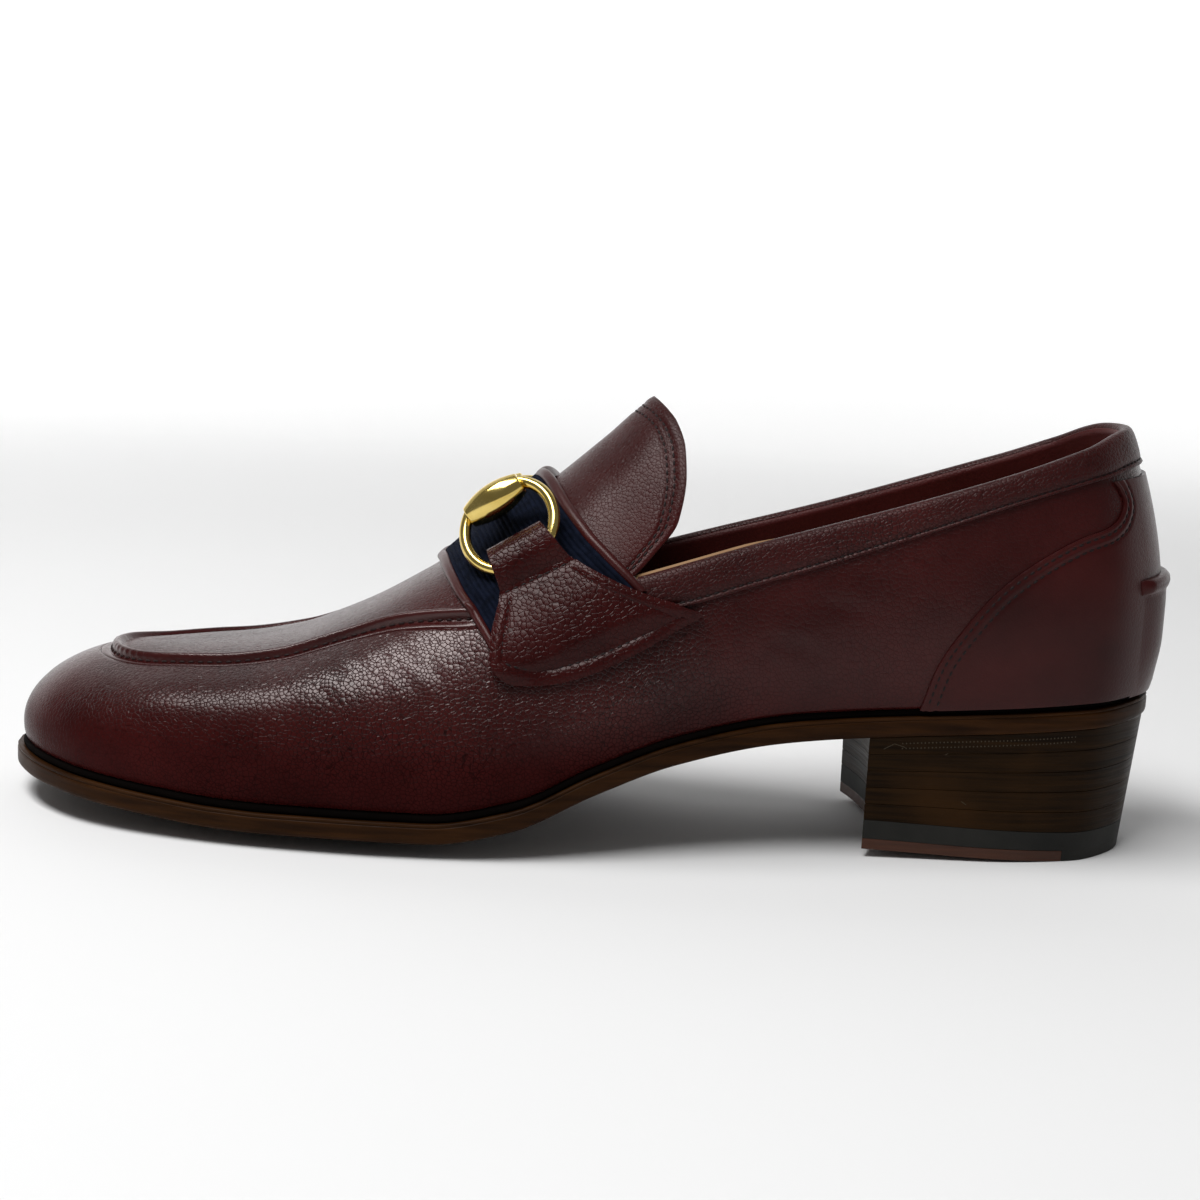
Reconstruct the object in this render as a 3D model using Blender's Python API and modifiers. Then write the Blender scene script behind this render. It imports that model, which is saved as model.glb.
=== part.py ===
"""A left horsebit loafer, size 42: a last-shaped leather upper on a leather sole with a stacked heel.

The toe points along -X, the outer (lateral) side faces -Y and +Z is up. The shoe stands on Z = 0.
Sizes are in millimetres and are turned into metres where the points of a mesh are placed.
A place on the shoe is a station, measured from the tip of the toe towards the heel, and a side.
"""

from bisect import bisect_right
from functools import lru_cache
from math import acos, cos, pi, sin

import bmesh
import bpy
from mathutils import Matrix, Vector

MM = 0.001
LATERAL = -1
MEDIAL = 1
GAP = 0.3

# Driving sizes
LENGTH = 300.0
HEEL_OVERHANG = 4.0
SIDE_SHIFT = 1.2
SOLE_THICKNESS = 5.2
SOLE_BEVEL = 1.0
SOLE_BEAD = 1.2
SOLE_BEAD_INSET = 0.5
MIDSOLE_THICKNESS = 1.4
MIDSOLE_INSET = 0.8
INSOLE_THICKNESS = 2.6
INSOLE_INSET = 5.6
INSOLE_REST = 0.21
WALL = 2.0
HEEL_BREAST = 224.0
HEEL_HOLLOW = 5.0
HEEL_TAPER = 3.6
HEEL_SIDE_TAPER = 0.4
HEEL_BACK = 250.0
HEEL_LIFTS = 5
RUBBER_TOP = 7.8
HEEL_TIP_TOP = 2.8
RUBBER_REAR = 277.0
HEEL_PITCH = 0.042
CONTACT_SIDE = 10.0
THROAT = 142.0
SEAM_IN_PLAN_END = 85.0
SEAM_BY_HEIGHT_START = 125.0
RIDGE_HEIGHT = 1.2
RIDGE_FADE = 110.0
RIDGE_END = 117.0
COLLAR_FRONT = 168.0
COLLAR_ROLL = 0.5
COUNTER_FRONT = 236.0
COUNTER_LIFT = 0.39
OVERLAY_FOOT = 1.0
BACKSTAY_FRONT = 291.0
BACKSTAY_TOP = 30.0
BACKSTAY_FOLD = 3.2
BACKSTAY_LIFT = 1.52
OVERLAY = 0.8
BAND_THICKNESS = 1.5
BAND_DROP_FRONT = 10.5
BAND_DROP_REAR = 4.0
BINDING_THICKNESS = 2.1
BINDING_WIDTH = 2.4
BINDING_ROUND = 0.4
TAB_THICKNESS = 1.5
TAB_STEP_FOOT = 11.0
TAB_STEP_TOP = 5.5
TAB_BOW = 0.7
TAB_CROWDING = 1.2
TONGUE_THICKNESS = 2.4
RING_RADIUS = 12.2
WIRE_RADIUS = 1.5
BARREL_LENGTH = 16.0
RING_ARM = (RING_RADIUS**2 - (BARREL_LENGTH / 2 + WIRE_RADIUS) ** 2) ** 0.5
BARREL_RADIUS = 3.6
BAR_RADIUS = 2.6
LINK_RADIUS = 3.1
LINK_LENGTH = 5.0
BIT_STATION = 126.3
BIT_HEIGHT = 87.2
BIT_SLOPE = 0.66
BIT_DROP = 3.2
RING_LEAN = 0.68
BIT_LATERAL = -21.3
BIT_MEDIAL = 20.2
LOOP_LIFT = 8.3

# How finely the shoe is divided
RIBS = 38
LOWER_ROWS = 7
PLUG_ROWS = 3
RIB_STEPS = 26


def smooth_curve(stations, values):
    """A smooth function through the values that never overshoots between them."""
    steps = [after - before for before, after in zip(stations, stations[1:])]
    slopes = [(after - before) / step for before, after, step in zip(values, values[1:], steps)]
    tangents = [slopes[0]]
    for before, after in zip(slopes, slopes[1:]):
        tangents.append(2 * before * after / (before + after) if before * after > 0 else 0.0)
    tangents.append(slopes[-1])

    def value(station):
        i = min(max(bisect_right(stations, station) - 1, 0), len(steps) - 1)
        t = min(max((station - stations[i]) / steps[i], 0.0), 1.0)
        bend = t * t * (3 - 2 * t)
        lead = t * (1 - t) * (1 - t) * steps[i] * tangents[i]
        trail = t * t * (t - 1) * steps[i] * tangents[i + 1]
        return values[i] + (values[i + 1] - values[i]) * bend + lead + trail

    return value


def columns(names, rows, spread=float):
    """One smooth function of the station for each named column of a table."""
    stations = [spread(row[0]) for row in rows]
    found = {}
    for index, name in enumerate(names[1:], start=1):
        curve = smooth_curve(stations, [row[index] for row in rows])
        found[name] = lambda station, curve=curve: curve(spread(station))
    return found


def turn(station):
    """The angle of a station on a half turn from toe to heel, which makes both ends round."""
    return acos(1 - 2 * min(max(station / LENGTH, 0.0), 1.0))


def ease(low, high, value):
    t = min(max((value - low) / (high - low), 0.0), 1.0)
    return t * t * (3 - 2 * t)


# The outline of the sole: the middle line's bend to the inner side and the width to each side of it
OUTLINE = columns(
    ("station", "bend", "lateral", "medial"),
    (
        (0, 6.0, 0.0, 0.0),
        (4, 5.5, 17.0, 17.0),
        (12, 4.5, 28.5, 27.5),
        (25, 3.0, 38.0, 36.0),
        (45, 1.5, 45.0, 43.5),
        (75, 0.5, 50.5, 48.5),
        (105, 0.0, 52.5, 50.0),
        (125, 0.0, 52.0, 46.5),
        (150, 0.0, 48.5, 38.5),
        (175, 0.0, 41.5, 31.0),
        (200, 0.0, 35.5, 28.5),
        (225, 0.0, 32.5, 30.0),
        (255, 0.0, 32.0, 32.0),
        (280, 0.0, 28.0, 28.0),
        (293, 0.0, 18.0, 18.0),
        (300, 0.0, 0.0, 0.0),
    ),
    spread=turn,
)

# The underside: toe spring, tread, arch and heel seat, and how much it cants up to the outer side
UNDERSIDE = columns(
    ("station", "height", "cant"),
    (
        (0, 7.3, 0.065),
        (25, 3.9, 0.065),
        (45, 1.8, 0.065),
        (60, 0.5, 0.065),
        (76, 0.0, 0.065),
        (113, 0.0, 0.062),
        (135, 4.7, 0.05),
        (155, 15.1, 0.033),
        (175, 23.5, 0.015),
        (200, 29.4, 0.0),
        (224, 31.6, 0.0),
        (300, 36.9, 0.0),
    ),
)

# The last above the feather edge, by the station where a rib starts: the ledge of sole outside it,
# the height and depth of its belly, the roundness of its shoulder and the station of the rib's top
LAST = columns(
    ("station", "ledge", "belly", "bulge", "power", "top"),
    (
        (0, 2.8, 4.5, 1.2, 1.95, 37.6),
        (25, 2.8, 6.0, 2.0, 2.15, 42.6),
        (50, 3.0, 8.0, 2.4, 2.60, 56.5),
        (80, 3.0, 9.0, 2.5, 2.70, 80.4),
        (100, 3.0, 9.0, 2.5, 2.40, 99.2),
        (120, 2.8, 10.0, 2.2, 2.05, 119.0),
        (140, 2.5, 11.0, 1.8, 1.80, 138.7),
        (165, 2.2, 12.0, 1.5, 1.60, 163.2),
        (190, 1.8, 14.0, 1.6, 1.70, 188.0),
        (225, 1.0, 17.0, 2.2, 1.70, 221.7),
        (250, 0.6, 19.0, 2.0, 1.62, 240.6),
        (275, 0.4, 20.0, 1.4, 1.60, 249.5),
        (300, 0.4, 22.0, 0.8, 1.60, 254.5),
    ),
)

# The crest of the last: its height, its sway to the inner side and how much the top cants over
CREST = columns(
    ("station", "height", "sway", "cant"),
    (
        (37.6, 41.0, 4.0, 0.03),
        (59.5, 43.0, 3.5, 0.03),
        (74.5, 46.3, 3.0, 0.03),
        (84.4, 50.5, 3.0, 0.028),
        (94.3, 55.4, 3.0, 0.024),
        (104.2, 61.3, 3.0, 0.018),
        (111.1, 65.7, 3.0, 0.012),
        (123.9, 76.1, 3.0, 0.0),
        (138.7, 88.1, 2.5, 0.0),
        (153.4, 101.2, 2.0, 0.0),
        (166.2, 113.0, 1.0, 0.0),
        (183.0, 121.7, 0.0, 0.0),
        (207.8, 132.2, 0.0, 0.0),
        (237.6, 145.8, 0.0, 0.0),
        (257.5, 151.2, 0.0, 0.0),
    ),
)

# The half width of the apron's seam in plan, over the forefoot
APRON_FRONT = 25.0
APRON = columns(
    ("station", "half_width"),
    (
        (25, 0.0),
        (28, 11.5),
        (33, 17.5),
        (40, 22.0),
        (50, 25.5),
        (65, 28.5),
        (85, 30.5),
        (105, 31.0),
        (150, 33.0),
    ),
    spread=lambda station: max(station - APRON_FRONT, 0.0) ** 0.5,
)

# The raised roll of leather along the apron's seam: the run past the seam and the lift off the last
RIDGE = (
    (0.0, 0.0),
    (0.4, RIDGE_HEIGHT),
    (3.4, RIDGE_HEIGHT),
    (4.8, 0.15),
)

# The height of the same seam where it climbs the instep and becomes the topline of the collar,
# and how much lower the collar is cut on the inner side
TOPLINE = columns(
    ("station", "height", "inner_drop"),
    (
        (84.4, 47.9, 0.0),
        (99.4, 52.2, 0.0),
        (120.3, 58.0, 0.5),
        (142.1, 64.0, 1.2),
        (164.0, 70.6, 1.7),
        (188.9, 78.4, 2.0),
        (223.7, 88.8, 2.2),
        (258.5, 100.3, 2.2),
        (275.4, 106.4, 1.4),
        (286.3, 110.4, 0.0),
        (293.3, 111.4, 0.0),
    ),
)

# The edges of the saddle band, from the crest (0) to its lower ends under the tabs (1)
BAND = columns(
    ("share", "front", "rear"),
    (
        (0.0, 112.4, 141.6),
        (0.35, 114.6, 146.2),
        (0.62, 118.0, 152.2),
        (0.80, 122.4, 158.2),
        (1.0, 128.0, 166.2),
    ),
)

# The free edge of the tongue, from the topline (0) to the crest (1)
TONGUE = columns(
    ("share", "end"),
    (
        (0.0, 162.8),
        (0.08, 167.8),
        (0.20, 173.6),
        (0.40, 175.2),
        (0.60, 174.0),
        (0.80, 169.8),
        (1.0, 165.8),
    ),
)

# A side tab, from its loop on the ring (0) to its lower edge (1), and how far that edge sags
TAB = columns(
    ("share", "front", "front_height", "rear", "rear_height", "sag"),
    (
        (0.0, 128.8, 70.0, 141.6, 78.2, 0.0),
        (0.20, 130.0, 65.6, 145.4, 73.8, 0.0),
        (0.35, 130.4, 62.4, 149.0, 70.6, 0.3),
        (0.50, 130.0, 59.4, 155.8, 68.5, 1.0),
        (0.75, 128.8, 54.2, 167.2, 65.5, 4.0),
        (1.0, 128.4, 48.1, 180.0, 62.8, 8.0),
    ),
)

# How much of the loop's lift the tab has, from the fold (0) past the stitches that close the loop
LOOP = columns(
    ("share", "part"),
    (
        (0.0, 0.45),
        (0.06, 0.94),
        (0.14, 1.0),
        (0.24, 0.55),
        (0.34, 0.0),
        (1.0, 0.0),
    ),
)

# The top edge of the counter, as a run up each rib
COUNTER = columns(
    ("station", "run"),
    (
        (236, 3.0),
        (240, 13.5),
        (247, 23.5),
        (255, 31.5),
        (265, 38.0),
        (277, 43.0),
        (285, 46.0),
        (291, 53.0),
        (300, 56.0),
    ),
)

# The width of the collar band, which narrows under the tabs
COLLAR = columns(
    ("station", "width"),
    (
        (168, 3.6),
        (180, 9.2),
        (225, 9.0),
        (260, 8.2),
        (300, 9.6),
    ),
)


def edge_normal(station, side):
    """The plan direction that points out of the sole's edge."""
    if station <= 0.0:
        return Vector((-1.0, 0.0))
    if station >= LENGTH:
        return Vector((1.0, 0.0))
    step = min(0.2, station / 2, (LENGTH - station) / 2)
    along = edge(station + step, side) - edge(station - step, side)
    return Vector((along.y, -along.x)).normalized() * -side


def edge(station, side):
    """A point of the sole's edge in plan."""
    width = OUTLINE["lateral" if side == LATERAL else "medial"](station)
    return Vector((station, OUTLINE["bend"](station) + side * width))


def inset_edge(station, side, inset):
    return edge(station, side) - edge_normal(station, side) * inset


def underside(place):
    """The height of the sole's underside at a point of the plan."""
    rise = UNDERSIDE["cant"](place.x) * max(CONTACT_SIDE - place.y, 0.0)
    return UNDERSIDE["height"](place.x) + rise


def sole_top(place):
    return underside(place) + SOLE_THICKNESS


def seat(place):
    """The height that the upper and the insole rest at, just over the midsole."""
    return sole_top(place) + GAP + MIDSOLE_THICKNESS + GAP


def world(station, across, height):
    """A point of the model, in metres, from its place on the shoe."""
    middle = (LENGTH + HEEL_OVERHANG) / 2
    return Vector((station - middle, across + SIDE_SHIFT, height)) * MM


def rib_stations(count):
    """Stations from toe to heel, closer together at the round ends, one of them at the throat."""
    found = []
    for i in range(count + 1):
        share = i / count
        found.append(LENGTH * (0.9 * (1 - cos(pi * share)) / 2 + 0.1 * share))
    nearest = min(range(count + 1), key=lambda i: abs(found[i] - THROAT))
    found[nearest] = THROAT
    return found


@lru_cache(maxsize=None)
def rib(station, side):
    """The points up one rib of the last, from the feather edge to the crest, and the run to each."""
    foot = inset_edge(station, side, LAST["ledge"](station))
    foot_height = seat(foot)
    top_station = LAST["top"](station)
    top = Vector((top_station, CREST["sway"](top_station)))
    span = (foot - top).length
    out = (foot - top) / span
    belly = foot_height + LAST["belly"](station)
    bulge = LAST["bulge"](station)
    rise = CREST["height"](top_station) - belly
    shoulder = 2 / LAST["power"](station)
    points = []
    for i in range(RIB_STEPS // 3):
        angle = pi / 2 * i / (RIB_STEPS // 3)
        away = span + bulge * sin(angle)
        plan = top + out * away
        points.append(Vector((plan.x, plan.y, belly - (belly - foot_height) * cos(angle))))
    for i in range(RIB_STEPS + 1):
        angle = pi / 2 * i / RIB_STEPS
        plan = top + out * (span + bulge) * max(cos(angle), 0.0) ** shoulder
        climb = sin(angle) ** shoulder
        cant = CREST["cant"](plan.x) * (top.y - plan.y) * climb
        points.append(Vector((plan.x, plan.y, belly + rise * climb + cant)))
    runs = [0.0]
    for before, after in zip(points, points[1:]):
        runs.append(runs[-1] + (after - before).length)
    return points, runs


def rib_length(station, side):
    return rib(station, side)[1][-1]


def on_rib(station, side, run):
    points, runs = rib(station, side)
    i = min(max(bisect_right(runs, run) - 1, 0), len(runs) - 2)
    return points[i].lerp(points[i + 1], (run - runs[i]) / (runs[i + 1] - runs[i]))


def crossing(station, side, above):
    """The run at which a rib first passes a line, where above says how far a point is past it."""
    points, runs = rib(station, side)
    last = above(points[0])
    for i in range(1, len(points)):
        here = above(points[i])
        if here >= 0.0:
            return runs[i - 1] + (runs[i] - runs[i - 1]) * -last / (here - last)
        last = here
    return runs[-1]


def run_at_height(station, side, height):
    return crossing(station, side, lambda point: point.z - height)


@lru_cache(maxsize=None)
def seam_run(station, side):
    """The run up a rib to the apron's seam, or to the topline behind the throat."""

    def inside_apron(point):
        sway = CREST["sway"](point.x)
        return APRON["half_width"](point.x) - abs(point.y - sway)

    in_plan = 0.0
    if station < SEAM_BY_HEIGHT_START:
        in_plan = crossing(station, side, inside_apron)

    def over_topline(point):
        cant = CREST["cant"](point.x) * (CREST["sway"](point.x) - point.y)
        drop = TOPLINE["inner_drop"](point.x) if side == MEDIAL else 0.0
        return point.z - cant - TOPLINE["height"](point.x) + drop

    by_height = crossing(station, side, over_topline)
    share = ease(SEAM_IN_PLAN_END, SEAM_BY_HEIGHT_START, station)
    return in_plan * (1 - share) + by_height * share


def normal_at(station, side, run):
    """The direction out of the last at a point of a rib."""
    share = run / rib_length(station, side)
    step = 0.4

    def beside(other, other_side):
        return on_rib(other, other_side, share * rib_length(other, other_side))

    if station < step:
        along = beside(step, LATERAL) - beside(step, MEDIAL)
    elif station > LENGTH - step:
        along = beside(LENGTH - step, MEDIAL) - beside(LENGTH - step, LATERAL)
    else:
        along = (beside(station - step, side) - beside(station + step, side)) * side
    up = on_rib(station, side, run + step) - on_rib(station, side, run - step)
    return along.cross(up).normalized()


def skin(station, side, run, lift=0.0):
    """A point of the model on the last's skin, or lifted off it."""
    point = on_rib(station, side, run)
    if lift:
        point = point + normal_at(station, side, run) * lift
    return world(*point)


def clear_scene():
    for old in list(bpy.data.objects):
        bpy.data.objects.remove(old, do_unlink=True)


def new_collection(name):
    collection = bpy.data.collections.new(name)
    bpy.context.scene.collection.children.link(collection)
    return collection


def new_material(name, colour, roughness, metallic=0.0):
    material = bpy.data.materials.new(name)
    material.use_nodes = True
    shader = material.node_tree.nodes["Principled BSDF"]
    shader.inputs["Base Color"].default_value = (*colour, 1.0)
    shader.inputs["Roughness"].default_value = roughness
    shader.inputs["Metallic"].default_value = metallic
    return material


def new_object(name, mesh, collection, material):
    """A named object made from a bmesh, smooth except along its edges."""
    data = bpy.data.meshes.new(name)
    mesh.to_mesh(data)
    mesh.free()
    data.shade_smooth()
    data.set_sharp_from_angle(angle=pi / 5)
    data.materials.append(material)
    made = bpy.data.objects.new(name, data)
    collection.objects.link(made)
    return made


def add_grid(mesh, across, along, place):
    """Adds a grid of quads whose corner (i, j) is put where place says."""
    made = bmesh.ops.create_grid(mesh, x_segments=across, y_segments=along, size=0.5)
    for vert in made["verts"]:
        i = round((vert.co.x + 0.5) * across)
        j = round((vert.co.y + 0.5) * along)
        vert.co = place(i, j)


def weld(mesh):
    bmesh.ops.remove_doubles(mesh, verts=mesh.verts, dist=1e-6)


def thicken(made, thickness, outward):
    """Gives an open surface a wall, out of its face or into it."""
    solid = made.modifiers.new("Wall", "SOLIDIFY")
    solid.thickness = thickness * MM
    solid.offset = 1.0 if outward else -1.0
    solid.use_even_offset = True
    return made


def around(stations, i):
    """The station and side of column i of a strip that runs round the shoe, heel to toe to heel."""
    count = len(stations) - 1
    if i <= count:
        return stations[count - i], MEDIAL
    return stations[i - count], LATERAL


def slab(levels, stations, across):
    """A closed slab over the shoe's outline. Each level is an inset and a height over the plan."""
    mesh = bmesh.new()
    count = len(stations) - 1

    def disc(level):
        inset, height = level

        def place(i, j):
            outer = inset_edge(stations[i], LATERAL, inset)
            inner = inset_edge(stations[i], MEDIAL, inset)
            plan = outer.lerp(inner, j / across)
            return world(plan.x, plan.y, height(plan))

        return place

    def wall(i, j):
        inset, height = levels[j]
        plan = inset_edge(*around(stations, i), inset)
        return world(plan.x, plan.y, height(plan))

    add_grid(mesh, count, across, disc(levels[0]))
    bmesh.ops.reverse_faces(mesh, faces=mesh.faces)
    add_grid(mesh, 2 * count, len(levels) - 1, wall)
    add_grid(mesh, count, across, disc(levels[-1]))
    weld(mesh)
    bmesh.ops.recalc_face_normals(mesh, faces=mesh.faces)
    return mesh


def make_outsole(shoe):
    leather = new_material("Sole leather", (0.16, 0.075, 0.035), 0.5)
    stations = rib_stations(RIBS)

    def raised(above):
        return lambda plan: underside(plan) + above

    bead = SOLE_THICKNESS - SOLE_BEAD
    levels = (
        (1.2 * SOLE_BEVEL, raised(0.0)),
        (0.2 * SOLE_BEVEL, raised(SOLE_BEVEL)),
        (0.0, raised(bead - 0.2)),
        (SOLE_BEAD_INSET, raised(bead)),
        (SOLE_BEAD_INSET, raised(SOLE_THICKNESS)),
    )
    return new_object("outsole", slab(levels, stations, across=5), shoe, leather)


def make_midsole(shoe):
    leather = new_material("Midsole leather", (0.02, 0.012, 0.01), 0.6)
    low = SOLE_THICKNESS + GAP
    levels = (
        (MIDSOLE_INSET, lambda plan: underside(plan) + low),
        (MIDSOLE_INSET, lambda plan: underside(plan) + low + MIDSOLE_THICKNESS),
    )
    return new_object("midsole", slab(levels, rib_stations(RIBS), across=4), shoe, leather)


def make_insole(shoe):
    leather = new_material("Insole leather", (0.45, 0.28, 0.16), 0.6)
    levels = (
        (INSOLE_INSET, lambda plan: seat(plan) + INSOLE_REST),
        (INSOLE_INSET, lambda plan: seat(plan) + INSOLE_REST + INSOLE_THICKNESS),
    )
    return new_object("insole", slab(levels, rib_stations(RIBS), across=4), shoe, leather)


def make_upper(shoe):
    """The vamp, apron and quarters as one wall, open at the collar, the throat and the sole."""
    leather = new_material("Burgundy leather", (0.11, 0.018, 0.018), 0.35)
    stations = rib_stations(RIBS)
    throat = stations.index(THROAT)
    front = stations[: throat + 1]
    mesh = bmesh.new()

    def side_wall(i, j):
        station, side = around(stations, i)
        return skin(station, side, seam_run(station, side) * j / LOWER_ROWS)

    def plug(i, j):
        station, side = around(front, i)
        past, lift = RIDGE[min(j, len(RIDGE) - 1)]
        start = seam_run(station, side) + past
        share = max(j - len(RIDGE) + 1, 0) / PLUG_ROWS
        lift = lift * (1 - share) * (1 - ease(RIDGE_FADE, RIDGE_END, station))
        run = start + (rib_length(station, side) - start) * share
        return skin(station, side, run, lift)

    add_grid(mesh, 2 * RIBS, LOWER_ROWS, side_wall)
    add_grid(mesh, 2 * throat, len(RIDGE) - 1 + PLUG_ROWS, plug)
    weld(mesh)
    return thicken(new_object("upper", mesh, shoe, leather), WALL, outward=False)


def heel_edge(station, side, height):
    """A point of the heel's side in plan: it tapers in towards the floor, most of all at the back."""
    share = 1 - height / UNDERSIDE["height"](station)
    backward = ease(HEEL_BACK, LENGTH, station)
    taper = HEEL_TAPER * share * (HEEL_SIDE_TAPER + (1 - HEEL_SIDE_TAPER) * backward)
    return inset_edge(station, side, MIDSOLE_INSET + taper)


def heel_floor(plan):
    """The height of the heel's underside, which is flat behind and lifts a little towards the breast."""
    return HEEL_PITCH * max(RUBBER_REAR - plan.x, 0.0)


def heel_slab(low, high, front=HEEL_BREAST, rear=LENGTH, count=9, across=4):
    """A layer of the heel between two heights over the plan, with a hollowed breast."""
    mesh = bmesh.new()

    def layer(height):
        def place(i, j):
            share = sin(pi / 2 * i / count) if rear == LENGTH else i / count
            station = front + (rear - front) * share
            guess = height(Vector((station, 0.0)))
            outer = heel_edge(station, LATERAL, guess)
            plan = outer.lerp(heel_edge(station, MEDIAL, guess), j / across)
            if front == HEEL_BREAST:
                plan.x += HEEL_HOLLOW * (1 - (2 * j / across - 1) ** 2) * (1 - share) ** 2
            return world(plan.x, plan.y, height(plan))

        return place

    add_grid(mesh, count, across, layer(low))
    add_grid(mesh, count, across, layer(high))
    weld(mesh)
    rims = [edge for edge in mesh.edges if edge.is_boundary]
    bmesh.ops.bridge_loops(mesh, edges=rims)
    bmesh.ops.recalc_face_normals(mesh, faces=mesh.faces)
    return mesh


def make_heel(shoe, cutters):
    """Five leather lifts over a rubber top piece, whose front three quarters are faced with leather."""
    stack = new_material("Stacked leather", (0.10, 0.055, 0.03), 0.45)
    rubber = new_material("Heel rubber", (0.02, 0.02, 0.02), 0.7)
    tip = new_material("Heel tip leather", (0.14, 0.05, 0.025), 0.5)

    def level(share):
        def height(plan):
            base = heel_floor(plan) + RUBBER_TOP
            return base + (underside(plan) - GAP - base) * share

        return height

    for i in range(HEEL_LIFTS):
        low = level(i / HEEL_LIFTS)
        mesh = heel_slab(lambda plan: low(plan) + GAP, level((i + 1) / HEEL_LIFTS))
        new_object(f"heel_lift_{i + 1}", mesh, shoe, stack)

    base = heel_slab(heel_floor, lambda plan: heel_floor(plan) + RUBBER_TOP)
    top_piece = new_object("heel_rubber", base, shoe, rubber)
    box = bmesh.new()
    step = HEEL_TIP_TOP + GAP
    length = 1.4 * (RUBBER_REAR - HEEL_BREAST)
    bmesh.ops.create_cube(box, size=1.0)
    for vert in box.verts:
        plan = Vector((RUBBER_REAR + length * (vert.co.x - 0.5), LENGTH / 3 * vert.co.y))
        height = heel_floor(plan) + step * 2 * vert.co.z
        vert.co = world(plan.x, plan.y, height)
    cut(top_piece, new_object("heel_step_cutter", box, cutters, rubber))

    mesh = heel_slab(
        heel_floor,
        lambda plan: heel_floor(plan) + HEEL_TIP_TOP,
        rear=RUBBER_REAR - GAP,
    )
    new_object("heel_leather_tip", mesh, shoe, tip)


def cut(made, cutter):
    """Cuts one object out of another and keeps the cutter out of sight."""
    cutter.hide_render = True
    cutter.display_type = "WIRE"
    boolean = made.modifiers.new("Cut", "BOOLEAN")
    boolean.operation = "DIFFERENCE"
    boolean.solver = "EXACT"
    boolean.object = cutter


def plate(across, along, inner, outer):
    """A closed plate between an inner and an outer grid of the same size."""
    mesh = bmesh.new()
    add_grid(mesh, across, along, inner)
    add_grid(mesh, across, along, outer)
    rims = [edge for edge in mesh.edges if edge.is_boundary]
    bmesh.ops.bridge_loops(mesh, edges=rims)
    bmesh.ops.recalc_face_normals(mesh, faces=mesh.faces)
    return mesh


def swept(count, section, place):
    """A closed bar: a section swept along count steps, where place puts each point of it."""
    mesh = bmesh.new()
    around_section = len(section)
    add_grid(mesh, count, around_section, lambda i, j: place(i, *section[j % around_section]))
    weld(mesh)
    bmesh.ops.holes_fill(mesh, edges=mesh.edges)
    bmesh.ops.recalc_face_normals(mesh, faces=mesh.faces)
    return mesh


def heel_strip(front, count, i):
    """The station and side of column i of a strip that runs from one side round the heel."""
    share = abs(i / count * 2 - 1)
    station = LENGTH - (LENGTH - front) * (1 - cos(pi / 2 * share))
    return station, LATERAL if 2 * i <= count else MEDIAL


def make_tongue(shoe):
    """The arched tongue that goes on up from the throat to its rounded free edge."""
    leather = new_material("Tongue leather", (0.11, 0.018, 0.018), 0.35)
    along, rows = 6, 16
    mesh = bmesh.new()

    def place(i, j):
        from_crest, side = over_crest(j, rows)
        share = 1 - from_crest
        start = THROAT + 2 * GAP
        station = start + (TONGUE["end"](share) - start) * i / along
        low = seam_run(station, side) + 2 * GAP
        return skin(station, side, low + (rib_length(station, side) - low) * share)

    add_grid(mesh, along, rows, place)
    return thicken(new_object("tongue", mesh, shoe, leather), TONGUE_THICKNESS, outward=False)


def make_collar_band(shoe):
    """The band along the topline, from tab to tab round the heel, with a rolled top edge."""
    leather = new_material("Collar leather", (0.10, 0.017, 0.017), 0.4)
    count = 36
    section = (
        (1.0, GAP),
        (1.0, OVERLAY),
        (0.2, OVERLAY + COLLAR_ROLL),
        (-0.02, OVERLAY),
        (-0.02, GAP),
    )

    def place(i, down, lift):
        station, side = heel_strip(COLLAR_FRONT, count, i)
        return skin(station, side, seam_run(station, side) - COLLAR["width"](station) * down, lift)

    return new_object("collar_band", swept(count, section, place), shoe, leather)


def make_counter(shoe):
    """The heel counter: a panel over the quarters with a curved front edge."""
    leather = new_material("Counter leather", (0.11, 0.018, 0.018), 0.35)
    count, rows = 28, 6

    def surface(lift):
        def place(i, j):
            station, side = heel_strip(COUNTER_FRONT, count, i)
            limit = seam_run(station, side) - COLLAR["width"](station) - 2 * GAP
            top = min(COUNTER["run"](station), limit)
            return skin(station, side, OVERLAY_FOOT + (top - OVERLAY_FOOT) * j / rows, lift)

        return place

    mesh = plate(count, rows, surface(COUNTER_LIFT), surface(COUNTER_LIFT + OVERLAY))
    return new_object("counter", mesh, shoe, leather)


def make_backstay(shoe):
    """The strip over the back seam, whose top end is folded into a thick edge."""
    leather = new_material("Backstay leather", (0.10, 0.017, 0.017), 0.4)
    count, rows = 12, 5
    flat = BACKSTAY_TOP - 5.0
    rises = [OVERLAY_FOOT + flat * i / rows for i in range(rows + 1)]
    front = [(run, BACKSTAY_LIFT + OVERLAY) for run in rises]
    fold = [
        (BACKSTAY_TOP - 3.0, 0.9 * BACKSTAY_FOLD),
        (BACKSTAY_TOP - 1.5, BACKSTAY_FOLD),
        (BACKSTAY_TOP, 0.75 * BACKSTAY_FOLD),
        (BACKSTAY_TOP, BACKSTAY_LIFT),
    ]
    back = [(run, BACKSTAY_LIFT) for run in reversed(rises)]
    section = front + fold + back

    def place(i, run, lift):
        station, side = heel_strip(BACKSTAY_FRONT, count, i)
        return skin(station, side, run, lift)

    return new_object("backstay", swept(count, section, place), shoe, leather)


def band_place(share, side, station, lift):
    """A point of the saddle at a share of the way from the crest to the band's lower ends."""
    top = rib_length(station, side)
    end = seam_run(station, side) - band_drop(station)
    return skin(station, side, top - (top - end) * share, lift)


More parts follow.
